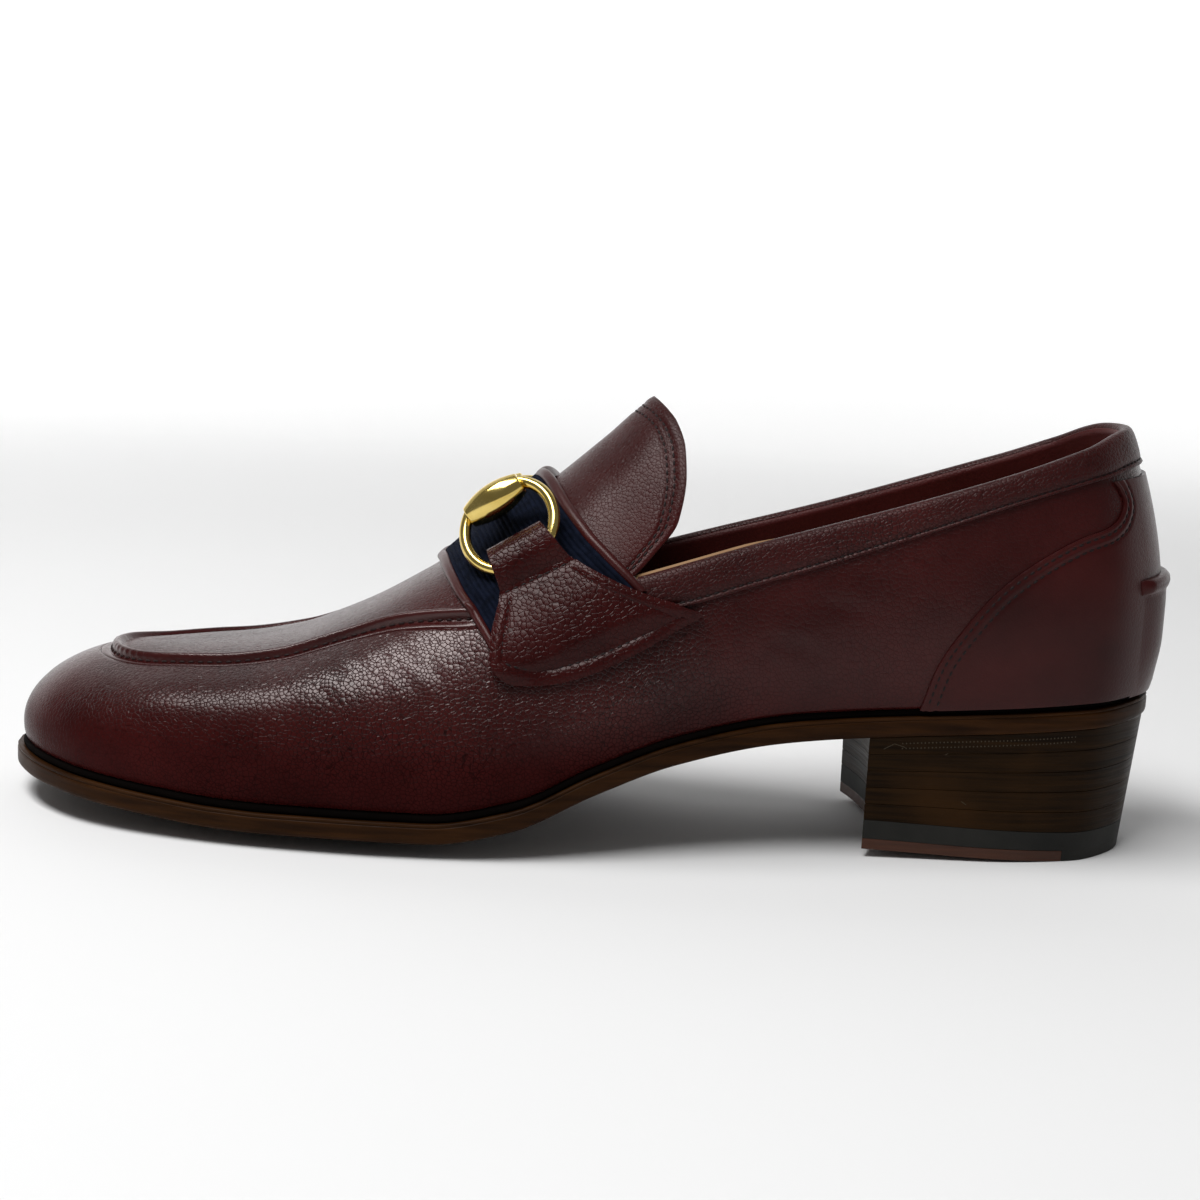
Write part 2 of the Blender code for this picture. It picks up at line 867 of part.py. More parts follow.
def band_drop(station):
    """How far below the seam the band ends, under the tab."""
    share = ease(BAND["front"](1.0), BAND["rear"](1.0), station)
    return BAND_DROP_FRONT + (BAND_DROP_REAR - BAND_DROP_FRONT) * share


def over_crest(j, rows):
    """The share from the crest and the side of row j of a strip that crosses over the instep."""
    half = rows // 2
    return abs(j - half) / half, LATERAL if j <= half else MEDIAL


def make_saddle(shoe):
    """The woven band across the vamp and the leather bindings along its two edges."""
    web = new_material("Navy webbing", (0.012, 0.016, 0.035), 0.8)
    leather = new_material("Binding leather", (0.12, 0.03, 0.03), 0.4)
    rows, width = 20, 4
    margin = BINDING_WIDTH + GAP

    def surface(lift):
        def place(i, j):
            share, side = over_crest(j, rows)
            front = BAND["front"](share) + margin
            rear = BAND["rear"](share) - margin
            return band_place(share, side, front + (rear - front) * i / width, lift)

        return place

    mesh = plate(width, rows, surface(GAP), surface(GAP + BAND_THICKNESS))
    new_object("saddle_band", mesh, shoe, web)

    section = (
        (0.0, GAP),
        (0.0, BINDING_THICKNESS - BINDING_ROUND),
        (0.25, BINDING_THICKNESS),
        (0.75, BINDING_THICKNESS),
        (1.0, BINDING_THICKNESS - BINDING_ROUND),
        (1.0, GAP),
    )
    for name, edge_name, inward, reach in (
        ("saddle_binding_front", "front", 1.0, 0.86),
        ("saddle_binding_rear", "rear", -1.0, 0.92),
    ):

        def place(i, share_in, lift):
            share, side = over_crest(i, rows)
            station = BAND[edge_name](share * reach) + inward * BINDING_WIDTH * share_in
            return band_place(share * reach, side, station, lift)

        new_object(name, swept(rows, section, place), shoe, leather)


def bit_frame(side):
    """The middle of a barrel, the direction along it and the direction from it to its tab."""
    across = BIT_LATERAL if side == LATERAL else BIT_MEDIAL
    drop = BIT_DROP if side == MEDIAL else 0.0
    middle = Vector((BIT_STATION, across, BIT_HEIGHT - drop))
    along = Vector((cos(BIT_SLOPE), 0.0, sin(BIT_SLOPE)))
    lean = Vector((0.0, side * sin(RING_LEAN), 0.0))
    down = Vector((sin(BIT_SLOPE), 0.0, -cos(BIT_SLOPE))) * cos(RING_LEAN) + lean
    return middle, along, down


def ring_matrix(side):
    """The placing of a ring: its middle, with X along the barrel and Y from the barrel to the tab."""
    middle, along, down = bit_frame(side)
    centre = middle + down * RING_ARM
    turned = Matrix((along, down, along.cross(down))).transposed().to_4x4()
    return Matrix.Translation(world(*centre)) @ turned


def make_tab(name, side, shoe, cutters):
    """A side tab: a leather piece sewn to the upper, its narrow top end looped round the ring."""
    leather = new_material("Tab leather", (0.11, 0.02, 0.02), 0.35)
    width, rows = 6, 10

    def spot(i, j):
        share = (j / rows) ** TAB_CROWDING
        along = i / width
        station = TAB["front"](share) + (TAB["rear"](share) - TAB["front"](share)) * along
        height = TAB["front_height"](share)
        height += (TAB["rear_height"](share) - height) * along
        bow = along**TAB_BOW
        height -= TAB["sag"](share) * 4 * bow * (1 - bow)
        if side == MEDIAL:
            height -= BIT_DROP * (1 - ease(0.2, 0.8, share))
        return station, run_at_height(station, side, height), share

    def base_lift(station, run):
        """The tab steps up from the upper onto the band, and off it again at the loop."""
        end = seam_run(station, side) - band_drop(station)
        step = ease(end - TAB_STEP_FOOT, end - TAB_STEP_TOP, run)
        return GAP + (BAND_THICKNESS + GAP) * step

    def inner(i, j):
        station, run, _ = spot(i, j)
        return skin(station, side, run, base_lift(station, run))

    def outer(i, j):
        station, run, share = spot(i, j)
        flat = base_lift(station, run) + TAB_THICKNESS
        return skin(station, side, run, flat + (LOOP_LIFT - flat) * LOOP["part"](share))

    made = new_object(name, plate(width, rows, inner, outer), shoe, leather)
    bpy.ops.mesh.primitive_torus_add(
        major_radius=RING_RADIUS * MM,
        minor_radius=(WIRE_RADIUS + GAP) * MM,
        major_segments=32,
        minor_segments=10,
    )
    cutter = bpy.context.object
    cutter.name = name + "_ring_cutter"
    cutter.matrix_world = ring_matrix(side)
    for collection in list(cutter.users_collection):
        collection.objects.unlink(cutter)
    cutters.objects.link(cutter)
    cut(made, cutter)


def make_ring(name, side, shoe, gold):
    """A ring whose two ends run into the ends of its barrel."""
    wire = bpy.data.curves.new(name, "CURVE")
    wire.dimensions = "3D"
    wire.bevel_depth = WIRE_RADIUS * MM
    wire.bevel_resolution = 2
    wire.use_fill_caps = True
    steps = 22
    opening = acos(RING_ARM / RING_RADIUS)
    spline = wire.splines.new("POLY")
    spline.points.add(steps)
    for i, point in enumerate(spline.points):
        angle = -pi / 2 - opening - (2 * pi - 2 * opening) * i / steps
        point.co = (RING_RADIUS * cos(angle) * MM, RING_RADIUS * sin(angle) * MM, 0.0, 1.0)
    wire.materials.append(gold)
    ring = bpy.data.objects.new(name, wire)
    ring.matrix_world = ring_matrix(side)
    shoe.objects.link(ring)


def turned(profile, length, radius, start, axis, segments=16):
    """A bmesh turned from a table of shares along the axis and of the radius, with closed ends."""
    mesh = bmesh.new()
    toward = axis.normalized()
    beside = toward.orthogonal().normalized()
    third = toward.cross(beside)

    def place(i, j):
        far, wide = profile[j]
        angle = 2 * pi * i / segments
        spoke = beside * cos(angle) + third * sin(angle)
        return world(*(start + toward * length * far + spoke * radius * wide))

    add_grid(mesh, segments, len(profile) - 1, place)
    weld(mesh)
    bmesh.ops.holes_fill(mesh, edges=mesh.edges)
    bmesh.ops.recalc_face_normals(mesh, faces=mesh.faces)
    return mesh


# The bit's turned pieces: the share of the half length, or of the reach, and the share of the radius
BARREL = (
    (-1.0, 0.62),
    (-0.8, 0.8),
    (-0.4, 0.96),
    (0.4, 0.96),
    (0.8, 0.8),
    (1.0, 0.62),
)
BAR = (
    (0.08, 0.9),
    (0.25, 1.0),
    (0.6, 0.92),
    (0.94, 0.75),
    (1.0, 0.6),
)
LINK = (
    (-1.0, 0.6),
    (-0.5, 1.0),
    (0.5, 1.0),
    (1.0, 0.6),
)


def make_bit(shoe, cutters):
    """The snaffle bit: a ring and a barrel on each side, and two bars that meet in a link."""
    gold = new_material("Gold plate", (0.83, 0.58, 0.20), 0.15, metallic=1.0)
    centre = (bit_frame(LATERAL)[0] + bit_frame(MEDIAL)[0]) / 2
    for side, word in ((LATERAL, "lateral"), (MEDIAL, "medial")):
        make_ring(f"ring_{word}", side, shoe, gold)
        middle, along, _ = bit_frame(side)
        inward = centre - middle
        reach = inward.length - LINK_LENGTH / 2 - GAP
        barrel = turned(BARREL, BARREL_LENGTH / 2, BARREL_RADIUS, middle, along)
        bar = turned(BAR, reach, BAR_RADIUS, middle, inward, segments=14)
        body = new_object(f"bar_{word}", barrel, shoe, gold)
        stem = new_object(f"bar_{word}_stem", bar, cutters, gold)
        stem.hide_render = True
        stem.display_type = "WIRE"
        joined = body.modifiers.new("Join", "BOOLEAN")
        joined.operation = "UNION"
        joined.solver = "EXACT"
        joined.object = stem
    level = Vector((0.0, 1.0, 0.0))
    link = turned(LINK, LINK_LENGTH / 2, LINK_RADIUS, centre, level)
    new_object("bit_link", link, shoe, gold)


def main():
    clear_scene()
    shoe = new_collection("Horsebit loafer")
    cutters = new_collection("Cutters")
    make_outsole(shoe)
    make_midsole(shoe)
    make_insole(shoe)
    make_heel(shoe, cutters)
    make_upper(shoe)
    make_tongue(shoe)
    make_collar_band(shoe)
    make_counter(shoe)
    make_backstay(shoe)
    make_saddle(shoe)
    make_tab("tab_lateral", LATERAL, shoe, cutters)
    make_tab("tab_medial", MEDIAL, shoe, cutters)
    make_bit(shoe, cutters)


main()
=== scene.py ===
"""The looks of a left horsebit loafer: leather, webbing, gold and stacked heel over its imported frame.

The toe points along -X, the outer (lateral) side faces -Y and the shoe stands on Z = 0. Sizes are in
millimetres and become metres where points are placed. A place on the shoe is a station, measured from
the tip of the toe towards the heel, a side, and a run up that station's rib of the last.
"""

from bisect import bisect_right
from functools import lru_cache
from math import acos, copysign, cos, exp, pi, radians, sin

import bmesh
import bpy
from mathutils import Matrix, Vector

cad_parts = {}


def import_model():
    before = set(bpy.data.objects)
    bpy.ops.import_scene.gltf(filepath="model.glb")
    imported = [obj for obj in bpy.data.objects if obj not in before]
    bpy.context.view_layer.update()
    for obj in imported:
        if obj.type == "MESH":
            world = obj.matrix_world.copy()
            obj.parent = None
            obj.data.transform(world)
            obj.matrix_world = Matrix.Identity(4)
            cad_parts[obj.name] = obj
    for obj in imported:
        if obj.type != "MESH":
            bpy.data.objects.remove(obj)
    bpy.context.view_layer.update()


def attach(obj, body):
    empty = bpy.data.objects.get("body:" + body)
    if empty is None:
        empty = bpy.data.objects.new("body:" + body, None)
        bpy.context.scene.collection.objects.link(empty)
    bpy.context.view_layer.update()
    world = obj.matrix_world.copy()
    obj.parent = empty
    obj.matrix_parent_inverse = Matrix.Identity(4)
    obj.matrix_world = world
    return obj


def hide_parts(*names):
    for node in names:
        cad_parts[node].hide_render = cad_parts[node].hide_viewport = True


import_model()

MM = 0.001
LATERAL = -1
MEDIAL = 1

# Sizes of the sole and the heel
LENGTH = 300.0
HEEL_OVERHANG = 4.0
SIDE_SHIFT = 1.2
LAYER_GAP = 0.3
SOLE_THICKNESS = 5.2
SOLE_BEAD = SOLE_THICKNESS - 0.9
MIDSOLE_THICKNESS = 1.4
MIDSOLE_INSET = 0.8
MIDSOLE_LOW = SOLE_THICKNESS + 0.05
MIDSOLE_TOP = MIDSOLE_LOW + 2 * LAYER_GAP + MIDSOLE_THICKNESS
INSOLE_THICKNESS = 2.6
CONTACT_SIDE = 10.0
HEEL_BREAST = 224.0
HEEL_HOLLOW = 5.0
HEEL_TAPER = 3.6
HEEL_SIDE_TAPER = 0.4
HEEL_BACK = 250.0
HEEL_LIFTS = 5
HEEL_PITCH = 0.042
HEEL_FILLET = 0.10
LIFT_GAP = 0.03
RUBBER_TOP = 7.8
RUBBER_REAR = 277.0
RUBBER_LAP = 0.2
TIP_TOP = 2.8
TIP_GAP = 0.05
WHEEL_START = HEEL_BREAST + 8
WHEEL_LENGTH = 46
WHEEL_ROWS = (1.7, 3.0)
MARK_SINK = 0.02

# Sizes of the upper and of what is sewn to it
WALL = 2.0
THROAT = 142.0
SEAM_IN_PLAN_END = 85.0
SEAM_BY_HEIGHT_START = 125.0
RIDGE_FADE = 121.0
RIDGE_END = 127.0
SEAM_PITCH = 2.6
SEAM_PULL = 0.26
CREASE_REACH = 25.0
CREASE_LIP = 0.45
COLLAR_FRONT = 168.0
COLLAR_FURROW = 0.875
FACING_FRONT = THROAT + 12.0
FACING_DEPTH = 26.0
FACING_THICKNESS = 0.5
LINING_EDGE_DEPTH = 4.0
LINING_EDGE_DROP = 2.2
LINING_EDGE_THICKNESS = 0.9
COUNTER_FOOT = 0.4
COUNTER_TOP = 56.0
COUNTER_LIFT = 1.0
COUNTER_ROWS = (1.4, 3.6)
BACKSTAY_FRONT = 291.0
BACKSTAY_TOP = 30.0
BACKSTAY_FOLD = 3.2
BACKSTAY_LIFT = 1.52
BACKSTAY_SEAT = 0.95
TONGUE_FOOT = 0.6
TONGUE_THICKNESS = 1.3
TONGUE_LINING = 1.1
TONGUE_ROWS = (3.0, 4.8)
BAND_THICKNESS = 1.5
BAND_CROWN = 2.0
BAND_DROP_FRONT = 10.5
BAND_DROP_REAR = 4.0
BAND_RIBS = 24
BAND_RIB_HEIGHT = 0.42
BINDING_THICKNESS = 2.1
BINDING_WIDTH = 2.4
BINDING_SHOULDER = 0.7
TAB_THICKNESS = 1.5
TAB_STEP_FOOT = 11.0
TAB_STEP_TOP = 5.5
TAB_BOW = 0.7
TAB_BORDER = 2.7
TAB_SEAM = 0.325
LOOP_LIFT = 8.3

# Sizes of the bit, and how it leans
RING_RADIUS = 12.2
RING_LEAN = 0.68
RING_DROP = 0.9
RING_END = 0.28
WIRE_RADIUS = 1.5
BARREL_LENGTH = 16.0
BARREL_RADIUS = 3.6
BARREL_RISE = 0.35
BARREL_LEVEL = radians(1.0)
RING_ARM = (RING_RADIUS**2 - (BARREL_LENGTH / 2 + WIRE_RADIUS) ** 2) ** 0.5
BAR_RADIUS = 2.6
LINK_RADIUS = 3.1
LINK_LENGTH = 5.0
BIT_STATION = 126.3
BIT_HEIGHT = 85.9
BIT_SLOPE = 0.66
BIT_DROP = 4.7
BIT_LATERAL = -21.3
BIT_MEDIAL = 20.2

# Stitches and marks: pitch, length, width and height
APRON_STITCH = (SEAM_PITCH, 1.7, 0.7, 0.42)
COLLAR_STITCH = (2.2, 1.7, 0.6, 0.26)
COUNTER_STITCH = (2.1, 1.5, 0.62, 0.2)
TONGUE_STITCH = (2.2, 1.6, 0.6, 0.22)
TAB_STITCH = (2.2, 1.6, 0.62, 0.26)
WHEEL_MARK = (0.95, 0.40, 0.45, 0.10)
SCUFF_MARK = (0.7, 1.1, 0.22, 0.08)

# How finely the pieces are divided
RIBS = 300
SIDE_ROWS = 46
APRON_ROWS = 22
RIB_STEPS = 84
LAST_RIBS = 900
SOLE_RIBS = 130
STITCH_SAMPLES = 240


def smooth_curve(stations, values):
    """A smooth function through the values that never overshoots between them."""
    steps = [after - before for before, after in zip(stations, stations[1:])]
    slopes = [(after - before) / step for before, after, step in zip(values, values[1:], steps)]
    tangents = [slopes[0]]
    for before, after in zip(slopes, slopes[1:]):
        tangents.append(2 * before * after / (before + after) if before * after > 0 else 0.0)
    tangents.append(slopes[-1])

    def value(station):
        i = min(max(bisect_right(stations, station) - 1, 0), len(steps) - 1)
        t = min(max((station - stations[i]) / steps[i], 0.0), 1.0)
        bend = t * t * (3 - 2 * t)
        lead = t * (1 - t) * (1 - t) * steps[i] * tangents[i]
        trail = t * t * (t - 1) * steps[i] * tangents[i + 1]
        return values[i] + (values[i + 1] - values[i]) * bend + lead + trail

    return value


def columns(names, rows, spread=float):
    """One smooth function of the station for each named column of a table."""
    stations = [spread(row[0]) for row in rows]
    found = {}
    for index, name in enumerate(names[1:], start=1):
        curve = smooth_curve(stations, [row[index] for row in rows])
        found[name] = lambda station, curve=curve: curve(spread(station))
    return found


def turn(station):
    """The angle of a station on a half turn from toe to heel, which makes both ends round."""
    return acos(1 - 2 * min(max(station / LENGTH, 0.0), 1.0))


def ease(low, high, value):
    t = min(max((value - low) / (high - low), 0.0), 1.0)
    return t * t * (3 - 2 * t)


def hump(value, middle, width):
    """A soft bump of height 1 round the middle."""
    return exp(-(((value - middle) / width) ** 2))


# The outline of the sole: the middle line's bend to the inner side and the width to each side of it
OUTLINE = columns(
    ("station", "bend", "lateral", "medial"),
    (
        (0, 6.0, 0.0, 0.0),
        (4, 5.5, 17.0, 17.0),
        (12, 4.5, 28.5, 27.5),
        (25, 3.0, 38.0, 36.0),
        (45, 1.5, 45.0, 43.5),
        (75, 0.5, 50.5, 48.5),
        (105, 0.0, 52.5, 50.0),
        (125, 0.0, 52.0, 46.5),
        (150, 0.0, 48.5, 38.5),
        (175, 0.0, 41.5, 31.0),
        (200, 0.0, 35.5, 28.5),
        (225, 0.0, 32.5, 30.0),
        (255, 0.0, 32.0, 32.0),
        (280, 0.0, 28.0, 28.0),
        (293, 0.0, 18.0, 18.0),
        (300, 0.0, 0.0, 0.0),
    ),
    spread=turn,
)

# The underside: toe spring, tread, arch and heel seat, and how much it cants up to the outer side
UNDERSIDE = columns(
    ("station", "height", "cant"),
    (
        (0, 7.3, 0.065),
        (25, 3.9, 0.065),
        (45, 1.8, 0.065),
        (60, 0.5, 0.065),
        (76, 0.0, 0.065),
        (113, 0.0, 0.062),
        (135, 4.7, 0.05),
        (155, 15.1, 0.033),
        (175, 23.5, 0.015),
        (200, 29.4, 0.0),
        (224, 31.6, 0.0),
        (300, 36.9, 0.0),
    ),
)

# The last above the feather edge, by the station where a rib starts: the ledge of sole outside it,
# the height and depth of its belly, the roundness of its shoulder and the station of the rib's top
LAST = columns(
    ("station", "ledge", "belly", "bulge", "power", "top"),
    (
        (0, 2.8, 4.5, 1.2, 1.95, 37.6),
        (25, 2.8, 6.0, 2.0, 2.15, 42.6),
        (50, 3.0, 8.0, 2.4, 2.60, 56.5),
        (80, 3.0, 9.0, 2.5, 2.70, 80.4),
        (100, 3.0, 9.0, 2.5, 2.40, 99.2),
        (120, 2.8, 10.0, 2.2, 2.05, 119.0),
        (140, 2.5, 11.0, 1.8, 1.80, 138.7),
        (165, 2.2, 12.0, 1.5, 1.60, 163.2),
        (190, 1.8, 14.0, 1.6, 1.70, 188.0),
        (225, 1.0, 17.0, 2.2, 1.70, 221.7),
        (250, 0.6, 19.0, 2.0, 1.62, 240.6),
        (275, 0.4, 20.0, 1.4, 1.60, 249.5),
        (300, 0.4, 22.0, 0.8, 1.60, 254.5),
    ),
)

# The crest of the last: its height, its sway to the inner side and how much the top cants over
CREST = columns(
    ("station", "height", "sway", "cant"),
    (
        (37.6, 41.0, 4.0, 0.03),
        (59.5, 43.0, 3.5, 0.03),
        (74.5, 46.3, 3.0, 0.03),
        (84.4, 50.5, 3.0, 0.028),
        (94.3, 55.4, 3.0, 0.024),
        (104.2, 61.3, 3.0, 0.018),
        (111.1, 65.7, 3.0, 0.012),
        (123.9, 76.1, 3.0, 0.0),
        (138.7, 88.1, 2.5, 0.0),
        (153.4, 101.2, 2.0, 0.0),
        (166.2, 113.0, 1.0, 0.0),
        (183.0, 121.7, 0.0, 0.0),
        (207.8, 132.2, 0.0, 0.0),
        (237.6, 145.8, 0.0, 0.0),
        (257.5, 151.2, 0.0, 0.0),
    ),
)

# The half width of the apron's seam in plan, over the forefoot
APRON_FRONT = 25.0
APRON = columns(
    ("station", "half_width"),
    (
        (25, 0.0),
        (28, 11.5),
        (33, 17.5),
        (40, 22.0),
        (50, 25.5),
        (65, 28.5),
        (85, 30.5),
        (105, 31.0),
        (150, 33.0),
    ),
    spread=lambda station: max(station - APRON_FRONT, 0.0) ** 0.5,
)

# The height of the same seam where it climbs the instep and becomes the topline of the collar,
# and how much lower the collar is cut on the inner side
TOPLINE = columns(
    ("station", "height", "inner_drop"),
    (
        (84.4, 47.9, 0.0),
        (99.4, 52.2, 0.0),
        (120.3, 58.0, 0.5),
        (142.1, 64.0, 1.2),
        (164.0, 70.6, 1.7),
        (188.9, 78.4, 2.0),
        (223.7, 88.8, 2.2),
        (258.5, 100.3, 2.2),
        (275.4, 106.4, 1.4),
        (286.3, 110.4, 0.0),
        (293.3, 111.4, 0.0),
    ),
)

# The edges of the saddle band, from the crest (0) to its lower ends under the tabs (1)
BAND = columns(
    ("share", "front", "rear"),
    (
        (0.0, 112.4, 141.6),
        (0.35, 114.6, 146.2),
        (0.62, 118.0, 152.2),
        (0.80, 122.4, 158.2),
        (1.0, 128.0, 166.2),
    ),
)

# The free edge of the tongue, from the topline (0) to the crest (1)
TONGUE = columns(
    ("share", "end"),
    (
        (0.0, 162.8),
        (0.08, 167.8),
        (0.20, 173.6),
        (0.40, 175.3),
        (0.55, 174.9),
        (0.70, 173.0),
        (0.80, 170.9),
        (0.90, 168.8),
        (0.96, 167.8),
        (1.0, 167.5),
    ),
)

# A side tab, from its loop on the ring (0) to its lower edge (1), and how far that edge sags
TAB = columns(
    ("share", "front", "front_height", "rear", "rear_height", "sag"),
    (
        (0.0, 128.8, 69.4, 141.6, 77.4, 0.0),
        (0.20, 130.0, 65.2, 145.6, 74.4, 0.0),
        (0.31, 130.4, 63.0, 148.4, 72.7, 0.2),
        (0.40, 130.4, 61.2, 151.8, 71.0, 0.5),
        (0.50, 130.0, 59.2, 156.6, 68.9, 1.0),
        (0.75, 128.8, 54.2, 167.2, 65.5, 4.0),
        (1.0, 128.4, 48.1, 180.0, 62.8, 8.0),
    ),
)

# The tab's leather from its lower edge up over the ring and back under it: the share of its length,
# how much of the loop's lift it has, and how far it has gone
TAB_FOLD = columns(
    ("travel", "share", "part"),
    (
        (0.0, 1.0, 0.0),
        (0.54, 0.36, 0.0),
        (0.60, 0.29, 0.03),
        (0.65, 0.235, 0.42),
        (0.70, 0.165, 0.88),
        (0.75, 0.09, 1.0),
        (0.80, 0.03, 0.90),
        (0.84, 0.0, 0.66),
        (0.88, 0.0, 0.36),
        (0.92, 0.05, 0.10),
        (1.0, 0.20, 0.02),
    ),
)

# The edge of the counter, from the sole (0) up and round to the collar (1): its station and run
COUNTER = columns(
    ("travel", "station", "run"),
    (
        (0.0, 236.0, COUNTER_FOOT),
        (0.12, 239.0, 11.0),
        (0.26, 246.5, 23.0),
        (0.38, 254.5, 31.5),
        (0.52, 265.0, 38.2),
        (0.66, 276.0, 42.8),
        (0.76, 283.0, 44.6),
        (0.83, 287.2, 47.2),
        (0.90, 289.0, 50.6),
        (0.96, 288.2, 53.6),
        (1.0, 286.6, COUNTER_TOP),
    ),
)

# The width of the collar band
COLLAR = columns(
    ("station", "width"),
    (
        (160, 9.6),
        (179, 10.6),
        (190, 10.3),
        (207, 9.9),
        (225, 8.9),
        (242, 8.2),
        (259, 7.6),
        (280, 8.2),
        (290, 9.2),
        (300, 9.6),
    ),
)

# The roll of leather along the apron's seam: the run past the seam and the lift off the last
RIDGE = columns(
    ("past", "lift"),
    (
        (-4.0, 0.0),
        (-2.0, -0.12),
        (-0.9, -0.45),
        (-0.2, -0.40),
        (0.10, 0.45),
        (0.45, 1.15),
        (1.0, 1.55),
        (1.7, 1.60),
        (2.4, 1.15),
        (2.85, 0.42),
        (3.15, 0.02),
        (3.5, -0.04),
        (4.6, 0.0),
    ),
)

# The runs past the seam at which the roll is drawn
RIDGE_ROWS = (
    *(-3.2, -2.4, -1.8, -1.3, -0.9, -0.5, -0.2),
    *(0.0, 0.15, 0.35, 0.6, 0.9, 1.3, 1.7),
    *(2.1, 2.4, 2.65, 2.9, 3.2, 3.7),
)

# Creases in the leather: side, the station and the run below the seam of the middle, half the length,
# the width, the lean back from upright in radians, and the depth
CREASES = (
    (LATERAL, 70.5, 12.0, 5.0, 1.0, 0.55, 0.16),
    (LATERAL, 76.0, 14.5, 6.0, 1.2, 0.50, 0.12),
    (LATERAL, 83.5, 14.0, 7.5, 1.2, 0.45, 0.23),
    (LATERAL, 87.5, 21.0, 6.0, 1.4, 0.65, 0.13),
    (LATERAL, 91.5, 14.0, 7.0, 1.1, 0.50, 0.24),
    (LATERAL, 95.5, 17.0, 6.0, 1.2, 0.60, 0.16),
    (LATERAL, 99.5, 16.5, 7.0, 1.2, 0.50, 0.26),
    (LATERAL, 104.0, 13.0, 6.0, 1.3, 0.40, 0.17),
    (LATERAL, 108.0, 20.0, 8.0, 1.9, 0.75, 0.16),
    (LATERAL, 113.0, 14.0, 7.0, 1.7, 0.60, 0.16),
    (LATERAL, 200.0, 27.5, 4.5, 1.6, 0.80, 0.22),
    (LATERAL, 205.5, 29.0, 5.5, 1.7, 0.85, 0.24),
    (LATERAL, 196.0, 29.5, 5.0, 1.6, 0.70, 0.14),
    (LATERAL, 214.0, 21.0, 8.0, 2.3, 1.10, 0.16),
    (MEDIAL, 80.0, 13.0, 7.0, 1.4, 0.50, 0.19),
    (MEDIAL, 88.0, 15.0, 8.0, 1.4, 0.50, 0.23),
    (MEDIAL, 97.0, 15.0, 7.0, 1.4, 0.50, 0.22),
    (MEDIAL, 106.0, 17.0, 8.0, 1.9, 0.60, 0.17),
    (MEDIAL, 202.0, 26.0, 6.0, 1.7, 0.80, 0.19),
)


def edge_normal(station, side):
    """The plan direction that points out of the sole's edge."""
    if station <= 0.0:
        return Vector((-1.0, 0.0))
    if station >= LENGTH:
        return Vector((1.0, 0.0))
    step = min(0.2, station / 2, (LENGTH - station) / 2)
    along = edge(station + step, side) - edge(station - step, side)
    return Vector((along.y, -along.x)).normalized() * -side


def edge(station, side):
    """A point of the sole's edge in plan."""
    width = OUTLINE["lateral" if side == LATERAL else "medial"](station)
    return Vector((station, OUTLINE["bend"](station) + side * width))


def inset_edge(station, side, inset):
    return edge(station, side) - edge_normal(station, side) * inset


def underside(place):
    """The height of the sole's underside at a point of the plan."""
    rise = UNDERSIDE["cant"](place.x) * max(CONTACT_SIDE - place.y, 0.0)
    return UNDERSIDE["height"](place.x) + rise


def seat(place):
    """The height that the upper and the insole rest at, just over the midsole."""
    return underside(place) + SOLE_THICKNESS + MIDSOLE_THICKNESS + 2 * LAYER_GAP


def over(height, amount):
    """A height over the plan, raised by an amount."""
    return lambda plan: height(plan) + amount


def world(station, across, height):
    """A point of the model, in metres, from its place on the shoe."""
    middle = (LENGTH + HEEL_OVERHANG) / 2
    return Vector((station - middle, across + SIDE_SHIFT, height)) * MM


def rib_stations(count):
    """Stations from toe to heel, closer together at the round ends, one of them at the throat."""
    found = []
    for i in range(count + 1):
        share = i / count
        found.append(LENGTH * (0.6 * (1 - cos(pi * share)) / 2 + 0.4 * share))
    nearest = min(range(count + 1), key=lambda i: abs(found[i] - THROAT))
    found[nearest] = THROAT
    return found


def rib_station(number):
    """The station of a rib of the last. The ribs stand closer together at the round ends."""
    return LENGTH * (1 - cos(pi * number / LAST_RIBS)) / 2


@lru_cache(maxsize=None)
def rib(number, side):
    """The points up one rib of the last, from the feather edge to the crest, and the run to each."""
    station = rib_station(number)
    foot = inset_edge(station, side, LAST["ledge"](station))
    foot_height = seat(foot)
    top_station = LAST["top"](station)
    top = Vector((top_station, CREST["sway"](top_station)))
    span = (foot - top).length
    out = (foot - top) / span
    belly = foot_height + LAST["belly"](station)
    bulge = LAST["bulge"](station)
    rise = CREST["height"](top_station) - belly
    shoulder = 2 / LAST["power"](station)
    points = []
    for i in range(RIB_STEPS // 3):
        angle = pi / 2 * i / (RIB_STEPS // 3)
        away = span + bulge * sin(angle)
        plan = top + out * away
        points.append(Vector((plan.x, plan.y, belly - (belly - foot_height) * cos(angle))))
    for i in range(RIB_STEPS + 1):
        angle = pi / 2 * i / RIB_STEPS
        plan = top + out * (span + bulge) * max(cos(angle), 0.0) ** shoulder
        climb = sin(angle) ** shoulder
        cant = CREST["cant"](plan.x) * (top.y - plan.y) * climb
        points.append(Vector((plan.x, plan.y, belly + rise * climb + cant)))
    runs = [0.0]
    for before, after in zip(points, points[1:]):
        runs.append(runs[-1] + (after - before).length)
    return points, runs


def rib_place(station):
    """Where a station falls among the last's ribs."""
    return turn(station) / pi * LAST_RIBS


def blend(station, side, measure):
    """A measure of the ribs on either side of a station, blended between them."""
    place = rib_place(station)
    number = min(int(place), LAST_RIBS - 1)
    first = measure(number, side)
    return first + (measure(number + 1, side) - first) * (place - number)


def length_of_rib(number, side):
    return rib(number, side)[1][-1]


def rib_length(station, side):
    return blend(station, side, length_of_rib)


def rib_point(number, side, share):
    points, runs = rib(number, side)
    run = runs[-1] * share
    i = min(max(bisect_right(runs, run) - 1, 0), len(runs) - 2)
    return points[i].lerp(points[i + 1], (run - runs[i]) / (runs[i + 1] - runs[i]))


